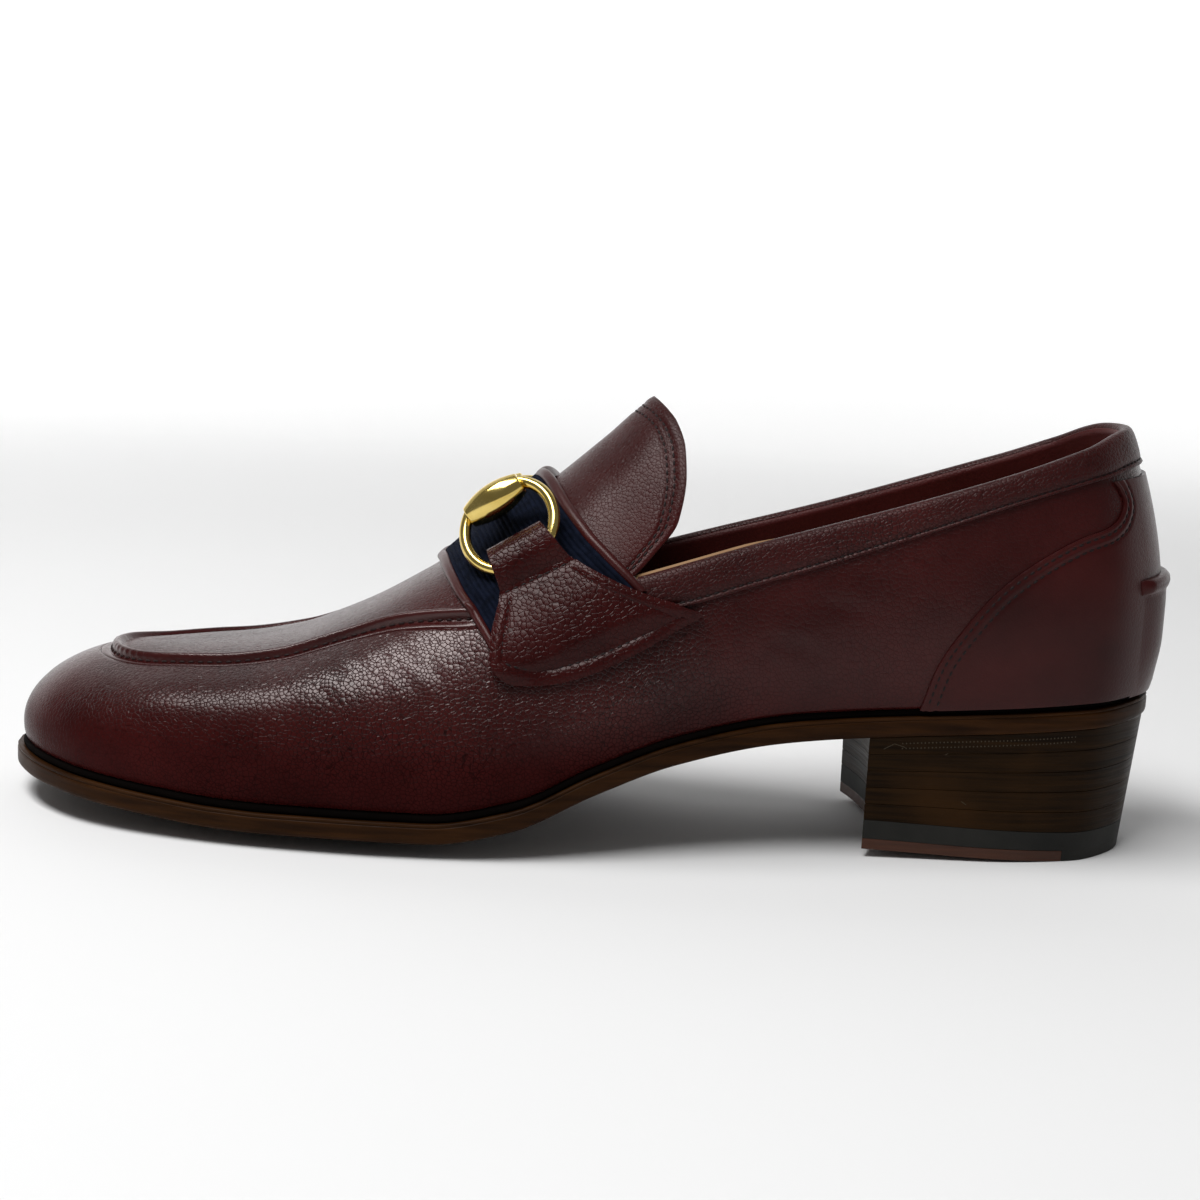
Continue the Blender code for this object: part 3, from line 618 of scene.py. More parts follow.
def last_point(place, side, share):
    """A point at a share of a rib. Places before the toe or past the heel go on along the other side."""
    if place < 0.0:
        place, side = -place, -side
    if place > LAST_RIBS:
        place, side = 2 * LAST_RIBS - place, -side
    number = min(int(place), LAST_RIBS - 1)
    return rib_point(number, side, share).lerp(rib_point(number + 1, side, share), place - number)


def crossing(number, side, above):
    """The run at which a rib first passes a line, where above says how far a point is past it."""
    points, runs = rib(number, side)
    last = above(points[0])
    for i in range(1, len(points)):
        here = above(points[i])
        if here >= 0.0:
            return runs[i - 1] + (runs[i] - runs[i - 1]) * -last / (here - last)
        last = here
    return runs[-1]


def run_at_height(station, side, height):
    return blend(station, side, lambda number, side: crossing(number, side, lambda point: point.z - height))


@lru_cache(maxsize=None)
def rib_seam(number, side):
    """The run up a rib to the apron's seam, or to the topline behind the throat."""
    station = rib_station(number)

    def inside_apron(point):
        sway = CREST["sway"](point.x)
        return APRON["half_width"](point.x) - abs(point.y - sway)

    def over_topline(point):
        cant = CREST["cant"](point.x) * (CREST["sway"](point.x) - point.y)
        drop = TOPLINE["inner_drop"](point.x) if side == MEDIAL else 0.0
        return point.z - cant - TOPLINE["height"](point.x) + drop

    share = ease(SEAM_IN_PLAN_END, SEAM_BY_HEIGHT_START, station)
    in_plan = crossing(number, side, inside_apron) if share < 1.0 else 0.0
    by_height = crossing(number, side, over_topline)
    return in_plan * (1 - share) + by_height * share


def seam_run(station, side):
    return blend(station, side, rib_seam)


def on_last(station, side, run):
    """A point of the last and the direction out of it."""
    place = rib_place(station)
    length = rib_length(station, side)
    share = run / length
    step = 0.4 / length
    reach = 1.5
    along = (last_point(place - reach, side, share) - last_point(place + reach, side, share)) * side
    up = last_point(place, side, share + step) - last_point(place, side, share - step)
    return last_point(place, side, share), along.cross(up).normalized()


def skin(station, side, run, lift=0.0):
    """A point of the model on the last's skin, or lifted off it."""
    point, normal = on_last(station, side, run)
    return world(*(point + normal * lift))


def crease_lift(station, side, below):
    """How far the creases sink or raise the leather at a place."""
    lift = 0.0
    for crease_side, middle, depth_below, reach, width, lean, depth in CREASES:
        if crease_side != side or abs(station - middle) > CREASE_REACH:
            continue
        along = (below - depth_below) * cos(lean) + (station - middle) * sin(lean)
        across = (station - middle) * cos(lean) - (below - depth_below) * sin(lean)
        fade = hump(along, 0.0, reach)
        lift -= depth * fade * hump(across, 0.0, width)
        lift += CREASE_LIP * depth * fade * hump(across, 2.0 * width, 1.2 * width)
    return lift


def new_mesh():
    mesh = bmesh.new()
    mesh.loops.layers.uv.new("UVMap")
    return mesh


def add_grid(mesh, across, along, place, flip=False, material=0):
    """Adds a grid of quads whose corner (i, j) is put where place says, with its own UV square."""
    made = bmesh.ops.create_grid(mesh, x_segments=across, y_segments=along, size=0.5, calc_uvs=True)
    faces = {face for vert in made["verts"] for face in vert.link_faces}
    for face in faces:
        face.material_index = material
    for vert in made["verts"]:
        i = round((vert.co.x + 0.5) * across)
        j = round((vert.co.y + 0.5) * along)
        vert.co = place(i, j)
    if flip:
        bmesh.ops.reverse_faces(mesh, faces=list(faces))


def weld(mesh):
    bmesh.ops.remove_doubles(mesh, verts=mesh.verts, dist=1e-6)


def close_ends(mesh):
    """Fills the open ends of a bar or a wire and points its faces outwards."""
    bmesh.ops.holes_fill(mesh, edges=mesh.edges)
    bmesh.ops.recalc_face_normals(mesh, faces=mesh.faces)


def finish_piece(name, mesh, materials, nodes=(), sharp=40.0):
    """Makes a named piece of a bmesh, which rides on the shoe and stands for the solids it names."""
    data = bpy.data.meshes.new(name)
    mesh.to_mesh(data)
    mesh.free()
    data.shade_smooth()
    data.set_sharp_from_angle(angle=radians(sharp))
    for material in materials if isinstance(materials, (list, tuple)) else [materials]:
        data.materials.append(material)
    piece = bpy.data.objects.new(name, data)
    bpy.context.scene.collection.objects.link(piece)
    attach(piece, "root")
    if nodes:
        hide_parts(*nodes)
    return piece


def thicken(piece, thickness, outward=False, inner=0):
    """Gives an open surface a wall, whose inner side may have another material."""
    wall = piece.modifiers.new("Wall", "SOLIDIFY")
    wall.thickness = thickness * MM
    wall.offset = 1.0 if outward else -1.0
    wall.use_even_offset = True
    wall.material_offset = inner


def soften(piece, width):
    """Rounds the hard edges of a piece."""
    bevel = piece.modifiers.new("Soft edges", "BEVEL")
    bevel.width = width * MM
    bevel.segments = 2
    bevel.limit_method = "ANGLE"
    bevel.angle_limit = radians(50)


def around(stations, i):
    """The station and side of column i of a strip that runs round the shoe, heel to toe to heel."""
    count = len(stations) - 1
    if i <= count:
        return stations[count - i], MEDIAL
    return stations[i - count], LATERAL


def heel_strip(front, count, i):
    """The station and side of column i of a strip that runs from one side round the heel."""
    share = abs(i / count * 2 - 1)
    station = LENGTH - (LENGTH - front) * (1 - cos(pi / 2 * share))
    return station, LATERAL if 2 * i <= count else MEDIAL


def over_crest(j, rows):
    """The share from the crest and the side of row j of a strip that crosses over the instep."""
    half = rows // 2
    return abs(j - half) / half, LATERAL if j <= half else MEDIAL


def plate(across, along, inner, outer):
    """A closed plate between an inner and an outer grid of the same size."""
    mesh = new_mesh()
    add_grid(mesh, across, along, inner)
    add_grid(mesh, across, along, outer)
    rims = [edge for edge in mesh.edges if edge.is_boundary]
    bmesh.ops.bridge_loops(mesh, edges=rims)
    bmesh.ops.recalc_face_normals(mesh, faces=mesh.faces)
    return mesh


def swept(count, section, place):
    """A closed bar: a section swept along count steps, where place puts each point of it."""
    mesh = new_mesh()
    points = len(section)
    add_grid(mesh, count, points, lambda i, j: place(i, *section[j % points]))
    weld(mesh)
    close_ends(mesh)
    return mesh


# The colour sockets of a node that mixes
MIX_FIRST = 6
MIX_SECOND = 7
MIX_RESULT = 2


class Finish:
    """A material under construction: its node tree and the shader that the nodes end in."""

    def __init__(self, name, colour, roughness, metallic=0.0, gloss=0.5):
        self.material = bpy.data.materials.new(name)
        self.material.use_nodes = True
        self.tree = self.material.node_tree
        self.shader = self.tree.nodes["Principled BSDF"]
        self.set("Base Color", (*colour, 1.0))
        self.set("Roughness", roughness)
        self.set("Metallic", metallic)
        self.set("Specular IOR Level", gloss)
        self.where = self.node("ShaderNodeTexCoord").outputs["Object"]

    def set(self, socket, value):
        self.shader.inputs[socket].default_value = value

    def link(self, socket, output):
        self.tree.links.new(output, self.shader.inputs[socket])

    def feed(self, socket, value):
        """Gives a node's input a value, or links it to another node's output."""
        if isinstance(value, bpy.types.NodeSocket):
            self.tree.links.new(value, socket)
        else:
            socket.default_value = value

    def node(self, kind, settings=(), **sockets):
        """A node with its settings, and its inputs given as values or as other nodes' outputs."""
        made = self.tree.nodes.new(kind)
        for key, value in dict(settings).items():
            setattr(made, key, value)
        for key, value in sockets.items():
            self.feed(made.inputs[key.replace("_", " ")], value)
        return made

    def place(self):
        """The place along X, Y and Z, in metres."""
        return self.node("ShaderNodeSeparateXYZ", Vector=self.where).outputs

    def noise(self, scale, detail, stretch=(1.0, 1.0, 1.0)):
        place = self.node("ShaderNodeMapping", Vector=self.where, Scale=stretch)
        made = self.node("ShaderNodeTexNoise", Vector=place.outputs["Vector"], Scale=scale, Detail=detail)
        return made.outputs["Fac"]

    def cells(self, scale, feature="F1"):
        made = self.node("ShaderNodeTexVoronoi", {"feature": feature}, Vector=self.where, Scale=scale)
        return made.outputs["Distance"]

    def between(self, value, low, high, to_low=0.0, to_high=1.0):
        """Eases a value that runs from low to high into one that runs from to_low to to_high."""
        limits = {"From_Min": low, "From_Max": high, "To_Min": to_low, "To_Max": to_high}
        made = self.node("ShaderNodeMapRange", {"interpolation_type": "SMOOTHSTEP"}, Value=value, **limits)
        return made.outputs["Result"]

    def reckon(self, operation, first, second):
        made = self.node("ShaderNodeMath", {"operation": operation})
        self.feed(made.inputs[0], first)
        self.feed(made.inputs[1], second)
        return made.outputs["Value"]

    def times(self, first, second):
        return self.reckon("MULTIPLY", first, second)

    def plus(self, first, second):
        return self.reckon("ADD", first, second)

    def tones(self, value, *stops):
        """Colours by a value: each stop is a place and a colour."""
        ramp = self.node("ShaderNodeValToRGB", Fac=value)
        while len(ramp.color_ramp.elements) < len(stops):
            ramp.color_ramp.elements.new(0.5)
        for element, (place, colour) in zip(ramp.color_ramp.elements, stops):
            element.position = place
            element.color = (*colour, 1.0)
        return ramp.outputs["Color"]

    def mixed(self, value, first, second):
        """A blend of two colours, given as numbers or as other nodes' outputs."""
        made = self.node("ShaderNodeMix", {"data_type": "RGBA"}, Factor=value)
        for socket, colour in ((MIX_FIRST, first), (MIX_SECOND, second)):
            linked = isinstance(colour, bpy.types.NodeSocket)
            self.feed(made.inputs[socket], colour if linked else (*colour, 1.0))
        return made.outputs[MIX_RESULT]

    def bump(self, *layers):
        """Chains bumps, each a height, its depth in metres and its strength."""
        normal = None
        for height, depth, strength in layers:
            made = self.node("ShaderNodeBump", Height=height, Distance=depth, Strength=strength)
            if normal is not None:
                self.tree.links.new(normal, made.inputs["Normal"])
            normal = made.outputs["Normal"]
        self.link("Normal", normal)


def dyed(colour, amount):
    """A colour made deeper or paler."""
    return tuple(amount * part for part in colour)


DEEP_BURGUNDY = (0.024, 0.0030, 0.0029)
WARM_BURGUNDY = (0.046, 0.0064, 0.0060)
WARM_GLOSS = (1.0, 0.92, 0.90, 1.0)


def burgundy_leather(name, grain, relief, roughness, gloss=0.25, shade=1.0, vamp=False):
    """Grained burgundy leather: low pebbles between fine furrows, cloudy colour and a soft polish."""
    deep = dyed(DEEP_BURGUNDY, shade)
    warm = dyed(WARM_BURGUNDY, shade)
    made = Finish(name, warm, roughness, gloss=gloss)
    made.set("Specular Tint", WARM_GLOSS)
    cloud = made.noise(42.0, 4.0)
    sway = made.noise(700.0, 2.0)
    pores = made.noise(2600.0, 2.0)
    from_middle = made.cells(grain)
    pebbles = made.times(made.times(from_middle, from_middle), -0.6)
    from_edge = made.cells(grain, "DISTANCE_TO_EDGE")
    furrows = made.between(from_edge, 0.0, 0.11, 0.0, 0.45)
    strong = made.between(made.noise(24.0, 2.0), 0.35, 0.65, 0.6, 1.0)
    if vamp:
        place = made.place()
        toe = made.between(place["X"], -0.150, -0.095, 0.25, 1.0)
        quarter = made.between(place["X"], 0.01, 0.07, 1.0, 0.42)
        strong = made.times(strong, made.times(toe, quarter))
        low = made.between(place["Z"], 0.022, 0.050, 0.06, 1.0)
        rear = made.between(place["X"], -0.02, 0.04, gloss, 0.55 * gloss)
        made.link("Specular IOR Level", made.times(low, rear))
    height = made.times(made.plus(pebbles, furrows), strong)
    darkest = min(5000.0 * relief, 0.9)
    shadow = made.times(made.between(from_edge, 0.0, 0.09, darkest, 0.0), strong)
    tone = made.tones(cloud, (0.30, deep), (0.72, warm))
    made.link("Base Color", made.mixed(shadow, tone, dyed(deep, 0.3)))
    made.link("Roughness", made.between(sway, 0.25, 0.75, roughness - 0.03, roughness + 0.04))
    made.bump((height, relief, 1.0), (pores, 0.00001, 0.5))
    return made.material


def plain_leather(name, colour, dark, roughness, streaks=(1.0, 1.0, 1.0), scale=60.0, gloss=0.25):
    """Smooth leather with a cloudy or streaked colour."""
    made = Finish(name, colour, roughness, gloss=gloss)
    cloud = made.noise(scale, 5.0, streaks)
    rub = made.noise(300.0, 3.0)
    made.link("Base Color", made.tones(cloud, (0.28, dark), (0.75, colour)))
    made.link("Roughness", made.between(rub, 0.2, 0.8, roughness - 0.06, roughness + 0.1))
    made.bump((cloud, 0.0002, 0.35), (made.noise(1800.0, 2.0), 0.00005, 0.5))
    return made.material


def stacked_leather():
    """The side of the heel's lifts: fine level streaks, browner where the polish has worn."""
    waxed = (0.0058, 0.0027, 0.0008)
    brown = (0.021, 0.0094, 0.0024)
    bare = (0.031, 0.0130, 0.0032)
    made = Finish("Stacked leather", brown, 0.36, gloss=0.05)
    streaks = made.noise(30.0, 6.0, (1.0, 1.0, 34.0))
    fine = made.noise(60.0, 4.0, (0.8, 0.8, 90.0))
    worn = made.between(made.noise(28.0, 3.0), 0.5, 0.75)
    tone = made.tones(streaks, (0.30, waxed), (0.72, brown))
    made.link("Base Color", made.mixed(worn, tone, bare))
    made.link("Roughness", made.between(fine, 0.3, 0.7, 0.30, 0.50))
    made.bump((streaks, 0.0003, 0.4), (fine, 0.00012, 0.4))
    return made.material


def sole_edge_leather():
    """The sole: a dark waxed edge, rubbed browner in places, and the same brown under it."""
    waxed = (0.012, 0.0043, 0.0012)
    brown = (0.040, 0.0148, 0.0038)
    made = Finish("Sole leather", brown, 0.38, gloss=0.05)
    streaks = made.noise(45.0, 5.0, (1.0, 1.0, 14.0))
    made.link("Base Color", made.tones(streaks, (0.28, waxed), (0.75, brown)))
    made.link("Roughness", made.between(made.noise(220.0, 3.0), 0.2, 0.8, 0.32, 0.5))
    made.bump((streaks, 0.0003, 0.5), (made.noise(1500.0, 2.0), 0.00006, 0.5))
    return made.material


def heel_rubber():
    """The matt black rubber of the top piece."""
    black = (0.011, 0.011, 0.010)
    dusty = (0.024, 0.023, 0.020)
    made = Finish("Heel rubber", black, 0.62, gloss=0.15)
    made.link("Base Color", made.tones(made.noise(50.0, 3.0), (0.3, black), (0.8, dusty)))
    made.bump((made.noise(900.0, 3.0), 0.0001, 0.5))
    return made.material


def navy_webbing():
    """Cotton webbing: the weave's short floats cross its ribs."""
    dark = (0.0024, 0.0034, 0.0078)
    navy = (0.0066, 0.0095, 0.021)
    made = Finish("Navy webbing", navy, 0.9, gloss=0.05)
    made.link("Base Color", made.tones(made.noise(500.0, 4.0), (0.3, dark), (0.75, navy)))
    made.bump((made.noise(2400.0, 2.0, (1.0, 1.0, 0.4)), 0.00012, 0.7))
    return made.material


def gold_plate():
    """Polished gold plate, a little rubbed."""
    deep = (0.70, 0.51, 0.14)
    pale = (0.84, 0.66, 0.24)
    made = Finish("Gold plate", pale, 0.16, metallic=1.0)
    rub = made.noise(120.0, 4.0)
    made.link("Roughness", made.between(rub, 0.3, 0.8, 0.13, 0.25))
    made.link("Base Color", made.tones(rub, (0.3, deep), (0.8, pale)))
    made.bump((made.noise(200.0, 2.0), 0.0001, 0.25))
    return made.material


def thread(name, colour):
    """Twisted thread, or the like-sized marks of a wheel."""
    made = Finish(name, colour, 0.55, gloss=0.2)
    twist = made.noise(2200.0, 2.0, (1.0, 0.5, 1.0))
    made.link("Base Color", made.tones(twist, (0.3, dyed(colour, 0.6)), (0.75, colour)))
    made.bump((twist, 0.00008, 0.6))
    return made.material


UPPER_LEATHER = burgundy_leather("Upper leather", 920.0, 0.00018, roughness=0.22, gloss=0.42, vamp=True)
TONGUE_LEATHER = burgundy_leather("Tongue leather", 1050.0, 0.00007, roughness=0.28, gloss=0.13)
SMOOTH_LEATHER = burgundy_leather("Counter leather", 1150.0, 0.00004, roughness=0.32, gloss=0.18)
COLLAR_LEATHER = burgundy_leather("Collar leather", 1000.0, 0.00018, roughness=0.36, gloss=0.2)
TAB_LEATHER = burgundy_leather("Tab leather", 760.0, 0.00013, roughness=0.21, gloss=0.13)
EDGE_LEATHER = burgundy_leather("Edge leather", 1300.0, 0.00003, roughness=0.32, shade=1.1)
APRON_LEATHER = burgundy_leather("Apron leather", 950.0, 0.00013, roughness=0.25, gloss=0.18, vamp=True)
ROLL_LEATHER = burgundy_leather("Roll leather", 1100.0, 0.00003, roughness=0.22, gloss=0.42, vamp=True)
FACING_LEATHER = burgundy_leather("Facing leather", 1000.0, 0.00006, roughness=0.45, shade=1.8)
LINING_LEATHER = plain_leather("Lining leather", (0.34, 0.20, 0.10), (0.24, 0.135, 0.065), 0.6)
INSOLE_LEATHER = plain_leather("Insole leather", (0.36, 0.22, 0.115), (0.27, 0.155, 0.078), 0.55)
# The midsole's near-black colour is partly its black edge ink and partly painted shade of the dark crease
# between the sole and the upper.
MIDSOLE_INK_AND_SHADE = plain_leather(
    "Midsole leather", (0.0035, 0.0024, 0.002), (0.002, 0.0014, 0.0012), 0.8, gloss=0.02
)
TIP_LEATHER = plain_leather(
    "Heel tip leather", (0.075, 0.025, 0.012), (0.038, 0.013, 0.0065), 0.45, (1.0, 1.0, 16.0), 45.0
)
SOLE_LEATHER = sole_edge_leather()
STACK_LEATHER = stacked_leather()
RUBBER = heel_rubber()
WEBBING = navy_webbing()
GOLD = gold_plate()
THREAD = thread("Burgundy thread", (0.011, 0.004, 0.004))
WHEEL_MARKS = thread("Wheel marks", (0.055, 0.041, 0.023))
WAXED_THREAD = thread("Waxed thread", (0.018, 0.006, 0.0055))


def add_stitches(mesh, path, stitch):
    """Adds a row of stitches: path gives a point and the leather's normal for a share from 0 to 1."""
    pitch, length, width, height = (measure * MM for measure in stitch)
    spots = [path(i / STITCH_SAMPLES) for i in range(STITCH_SAMPLES + 1)]
    runs = [0.0]
    for before, after in zip(spots, spots[1:]):
        runs.append(runs[-1] + (after[0] - before[0]).length)
    for number in range(max(int(runs[-1] / pitch), 1)):
        run = pitch * (number + 0.5)
        i = min(max(bisect_right(runs, run) - 1, 0), STITCH_SAMPLES - 1)
        here, normal = spots[i]
        ahead = spots[i + 1][0]
        point = here.lerp(ahead, (run - runs[i]) / max(runs[i + 1] - runs[i], 1e-9))
        along = (ahead - here).normalized()
        across = normal.cross(along).normalized()
        axes = Matrix((along, across, normal)).transposed().to_4x4()
        size = Matrix.Diagonal((length / 2, width / 2, height, 1.0))
        place = Matrix.Translation(point) @ axes @ size
        bmesh.ops.create_uvsphere(mesh, u_segments=8, v_segments=5, radius=1.0, matrix=place)


def sew(name, rows, stitch, yarn):
    """Makes one piece of the stitches along some rows in the leather."""
    mesh = new_mesh()
    for path in rows:
        add_stitches(mesh, path, stitch)
    finish_piece(name, mesh, yarn)


def on_skin(station, side, run, lift):
    """A point over the last and the normal there, for stitches."""
    return skin(station, side, run, lift), on_last(station, side, run)[1]


def slab(base, levels, across, start=lambda station: 0.0):
    """A closed slab over the shoe's outline. Each level is an inset and a height over the base."""
    mesh = new_mesh()
    stations = rib_stations(SOLE_RIBS)
    count = len(stations) - 1

    def disc(level):
        inset, above = level

        def place(i, j):
            deep = inset + start(stations[i])
            outer = inset_edge(stations[i], LATERAL, deep)
            inner = inset_edge(stations[i], MEDIAL, deep)
            plan = outer.lerp(inner, j / across)
            return world(plan.x, plan.y, base(plan) + above)

        return place

    def wall(i, j):
        inset, above = levels[j]
        station, side = around(stations, i)
        plan = inset_edge(station, side, inset + start(station))
        return world(plan.x, plan.y, base(plan) + above)

    add_grid(mesh, count, across, disc(levels[0]), flip=True)
    add_grid(mesh, 2 * count, len(levels) - 1, wall)
    add_grid(mesh, count, across, disc(levels[-1]))
    weld(mesh)
    bmesh.ops.recalc_face_normals(mesh, faces=mesh.faces)
    return mesh


# The edges of the sole and the midsole, upwards: inset, and height over the sole's underside
SOLE_EDGE = (
    (1.2, 0.0),
    (0.45, 0.12),
    (0.12, 0.5),
    (0.0, 1.1),
    (0.0, 1.4),
    (0.0, SOLE_BEAD - 0.6),
    (0.02, SOLE_BEAD - 0.35),
    (0.14, SOLE_BEAD - 0.15),
    (0.30, SOLE_BEAD),
    (0.16, SOLE_BEAD + 0.12),
    (0.08, SOLE_BEAD + 0.4),
    (0.15, SOLE_THICKNESS - 0.15),
    (0.40, SOLE_THICKNESS),
    (2.5, SOLE_THICKNESS),
)
MIDSOLE_EDGE = (
    (2.4, MIDSOLE_LOW),
    (1.7, MIDSOLE_LOW + 0.15),
    (1.5, MIDSOLE_LOW + 0.6),
    (1.7, MIDSOLE_TOP - 0.4),
    (2.2, MIDSOLE_TOP),
    (5.0, MIDSOLE_TOP),
)

# The edge of the insole under its sock, upwards: inset from the lining, and height over its seat
SOCK_EDGE = (
    (1.2, 0.2),
    (0.7, INSOLE_THICKNESS - 0.6),
    (0.3, INSOLE_THICKNESS),
    (0.4, INSOLE_THICKNESS + 0.3),
    (1.2, INSOLE_THICKNESS + 0.2),
)


def make_sole():
    """The outsole with its rounded edge and bead, the midsole's black line and the insole. The midsole's
    near-black is partly its own black edge ink and partly painted shade of the crease between the sole and
    the upper.
    """

    def lining(station):
        return LAST["ledge"](station) + WALL

    sole = slab(underside, SOLE_EDGE, 12)
    finish_piece("sole_leather", sole, SOLE_LEATHER, ["outsole"], sharp=60.0)
    midsole = slab(underside, MIDSOLE_EDGE, 8)
    finish_piece("midsole_edge", midsole, MIDSOLE_INK_AND_SHADE, ["midsole"], sharp=60.0)
    sock = slab(seat, SOCK_EDGE, 24, lining)
    finish_piece("insole_sock", sock, INSOLE_LEATHER, ["insole"], sharp=60.0)


def heel_edge(station, side, height, inset):
    """A point of the heel's side in plan: it tapers in towards the floor, most of all at the back."""
    share = 1 - height / UNDERSIDE["height"](station)
    backward = ease(HEEL_BACK, LENGTH, station)
    taper = HEEL_TAPER * share * (HEEL_SIDE_TAPER + (1 - HEEL_SIDE_TAPER) * backward)
    return inset_edge(station, side, MIDSOLE_INSET + taper + inset)


def heel_floor(plan):
    """The height of the heel's underside, which is flat behind and lifts a little towards the breast."""
    return HEEL_PITCH * max(RUBBER_REAR - plan.x, 0.0)


def heel_layer(low, high, front=HEEL_BREAST, rear=LENGTH):
    """A layer of the heel between two heights over the plan, with softened edges and a hollow breast."""
    count = 56
    across = 10
    mesh = new_mesh()

    def level(height, inset):
        def place(i, j):
            share = sin(pi / 2 * i / count) if rear == LENGTH else i / count
            first = front + inset
            last = rear - inset if rear < LENGTH else rear
            station = first + (last - first) * share
            guess = height(Vector((station, 0.0)))
            outer = heel_edge(station, LATERAL, guess, inset)
            plan = outer.lerp(heel_edge(station, MEDIAL, guess, inset), j / across)
            if front == HEEL_BREAST:
                plan.x += HEEL_HOLLOW * (1 - (2 * j / across - 1) ** 2) * (1 - share) ** 2
            return world(plan.x, plan.y, height(plan))

        return place

    stack = (
        (low, HEEL_FILLET),
        (over(low, HEEL_FILLET), 0.0),
        (over(high, -HEEL_FILLET), 0.0),
        (high, HEEL_FILLET),
    )
    loops = []
    for number, (height, inset) in enumerate(stack):
        before = set(mesh.edges)
        add_grid(mesh, count, across, level(height, inset))
        weld(mesh)
        rim = [edge for edge in mesh.edges if edge not in before and edge.is_boundary]
        if number in (1, 2):
            inside = [face for face in mesh.faces if all(edge not in before for edge in face.edges)]
            bmesh.ops.delete(mesh, geom=inside, context="FACES_KEEP_BOUNDARY")
            rim = [edge for edge in mesh.edges if edge not in before and edge.is_valid]
        loops.append(rim)
    for lower, upper in zip(loops, loops[1:]):
        bmesh.ops.bridge_loops(mesh, edges=lower + upper)
    bmesh.ops.recalc_face_normals(mesh, faces=mesh.faces)
    return mesh


def on_heel(station, side, drop):
    """A point on the side of the heel, a little under the sole, and the way that it faces."""
    plan = heel_edge(station, side, UNDERSIDE["height"](station) - drop, MARK_SINK)
    out = edge_normal(station, side)
    return world(plan.x, plan.y, underside(plan) - drop), Vector((out.x, out.y, 0.0))


# Scuffs on the outer side of the heel: station, drop under the sole, length and rise
HEEL_SCUFFS = (
    (227.8, 3.0, 2.6, 1.3),
    (230.4, 1.7, 3.2, -1.2),
    (243.5, 5.0, 1.0, 0.6),
    (248.6, 17.5, 1.4, -1.0),
)


def make_heel():
    """Five leather lifts, the rubber top piece, the leather facing under its front, and the marks."""

    def level(share):
        def height(plan):
            base = heel_floor(plan) + RUBBER_TOP
            return base + (underside(plan) - base) * share

        return height

    for i in range(HEEL_LIFTS):
        low = over(level(i / HEEL_LIFTS), LIFT_GAP)
        high = over(level((i + 1) / HEEL_LIFTS), -LIFT_GAP)
        lift = heel_layer(low, high)
        node = f"heel_lift_{i + 1}"
        finish_piece(f"stacked_lift_{i + 1}", lift, STACK_LEATHER, [node], sharp=25.0)

    tip_top = over(heel_floor, TIP_TOP)
    body = heel_layer(over(tip_top, TIP_GAP), over(heel_floor, RUBBER_TOP - LIFT_GAP))
    back = heel_layer(heel_floor, over(tip_top, RUBBER_LAP), front=RUBBER_REAR + TIP_GAP)
    joined = bpy.data.meshes.new("rubber back")
    back.to_mesh(joined)
    back.free()
    body.from_mesh(joined)
    bpy.data.meshes.remove(joined)
    finish_piece("rubber_top_piece", body, RUBBER, ["heel_rubber"], sharp=25.0)
    facing = heel_layer(heel_floor, tip_top, rear=RUBBER_REAR - TIP_GAP)
    finish_piece("heel_tip_facing", facing, TIP_LEATHER, ["heel_leather_tip"], sharp=25.0)

    marks = new_mesh()
    for side in (LATERAL, MEDIAL):
        for drop in WHEEL_ROWS:

            def wheel(share, side=side, drop=drop):
                return on_heel(WHEEL_START + WHEEL_LENGTH * share, side, drop)

            add_stitches(marks, wheel, WHEEL_MARK)
    for station, drop, length, rise in HEEL_SCUFFS:

        def scuff(share, station=station, drop=drop, length=length, rise=rise):
            return on_heel(station + length * share, LATERAL, drop - rise * share)

        add_stitches(marks, scuff, SCUFF_MARK)
    finish_piece("heel_wheel_marks", marks, WHEEL_MARKS)


def ridge_fade(station):
    return 1 - ease(RIDGE_FADE, RIDGE_END, station)


def seam_lift(station, past):
    """The roll along the apron's seam, and the furrow that its stitches lie in."""
    return RIDGE["lift"](past) * ridge_fade(station)


@lru_cache(maxsize=None)
def seam_lengths(side):
    """How far along the apron's seam each rib is, measured from the toe."""
    lengths = [0.0]
    last = None
    for number in range(LAST_RIBS + 1):
        point = rib_point(number, side, rib_seam(number, side) / length_of_rib(number, side))
        if last is not None:
            lengths.append(lengths[-1] + (point - last).length)
        last = point
    return lengths


def along_seam(station, side):
    return blend(station, side, lambda number, side: seam_lengths(side)[number])


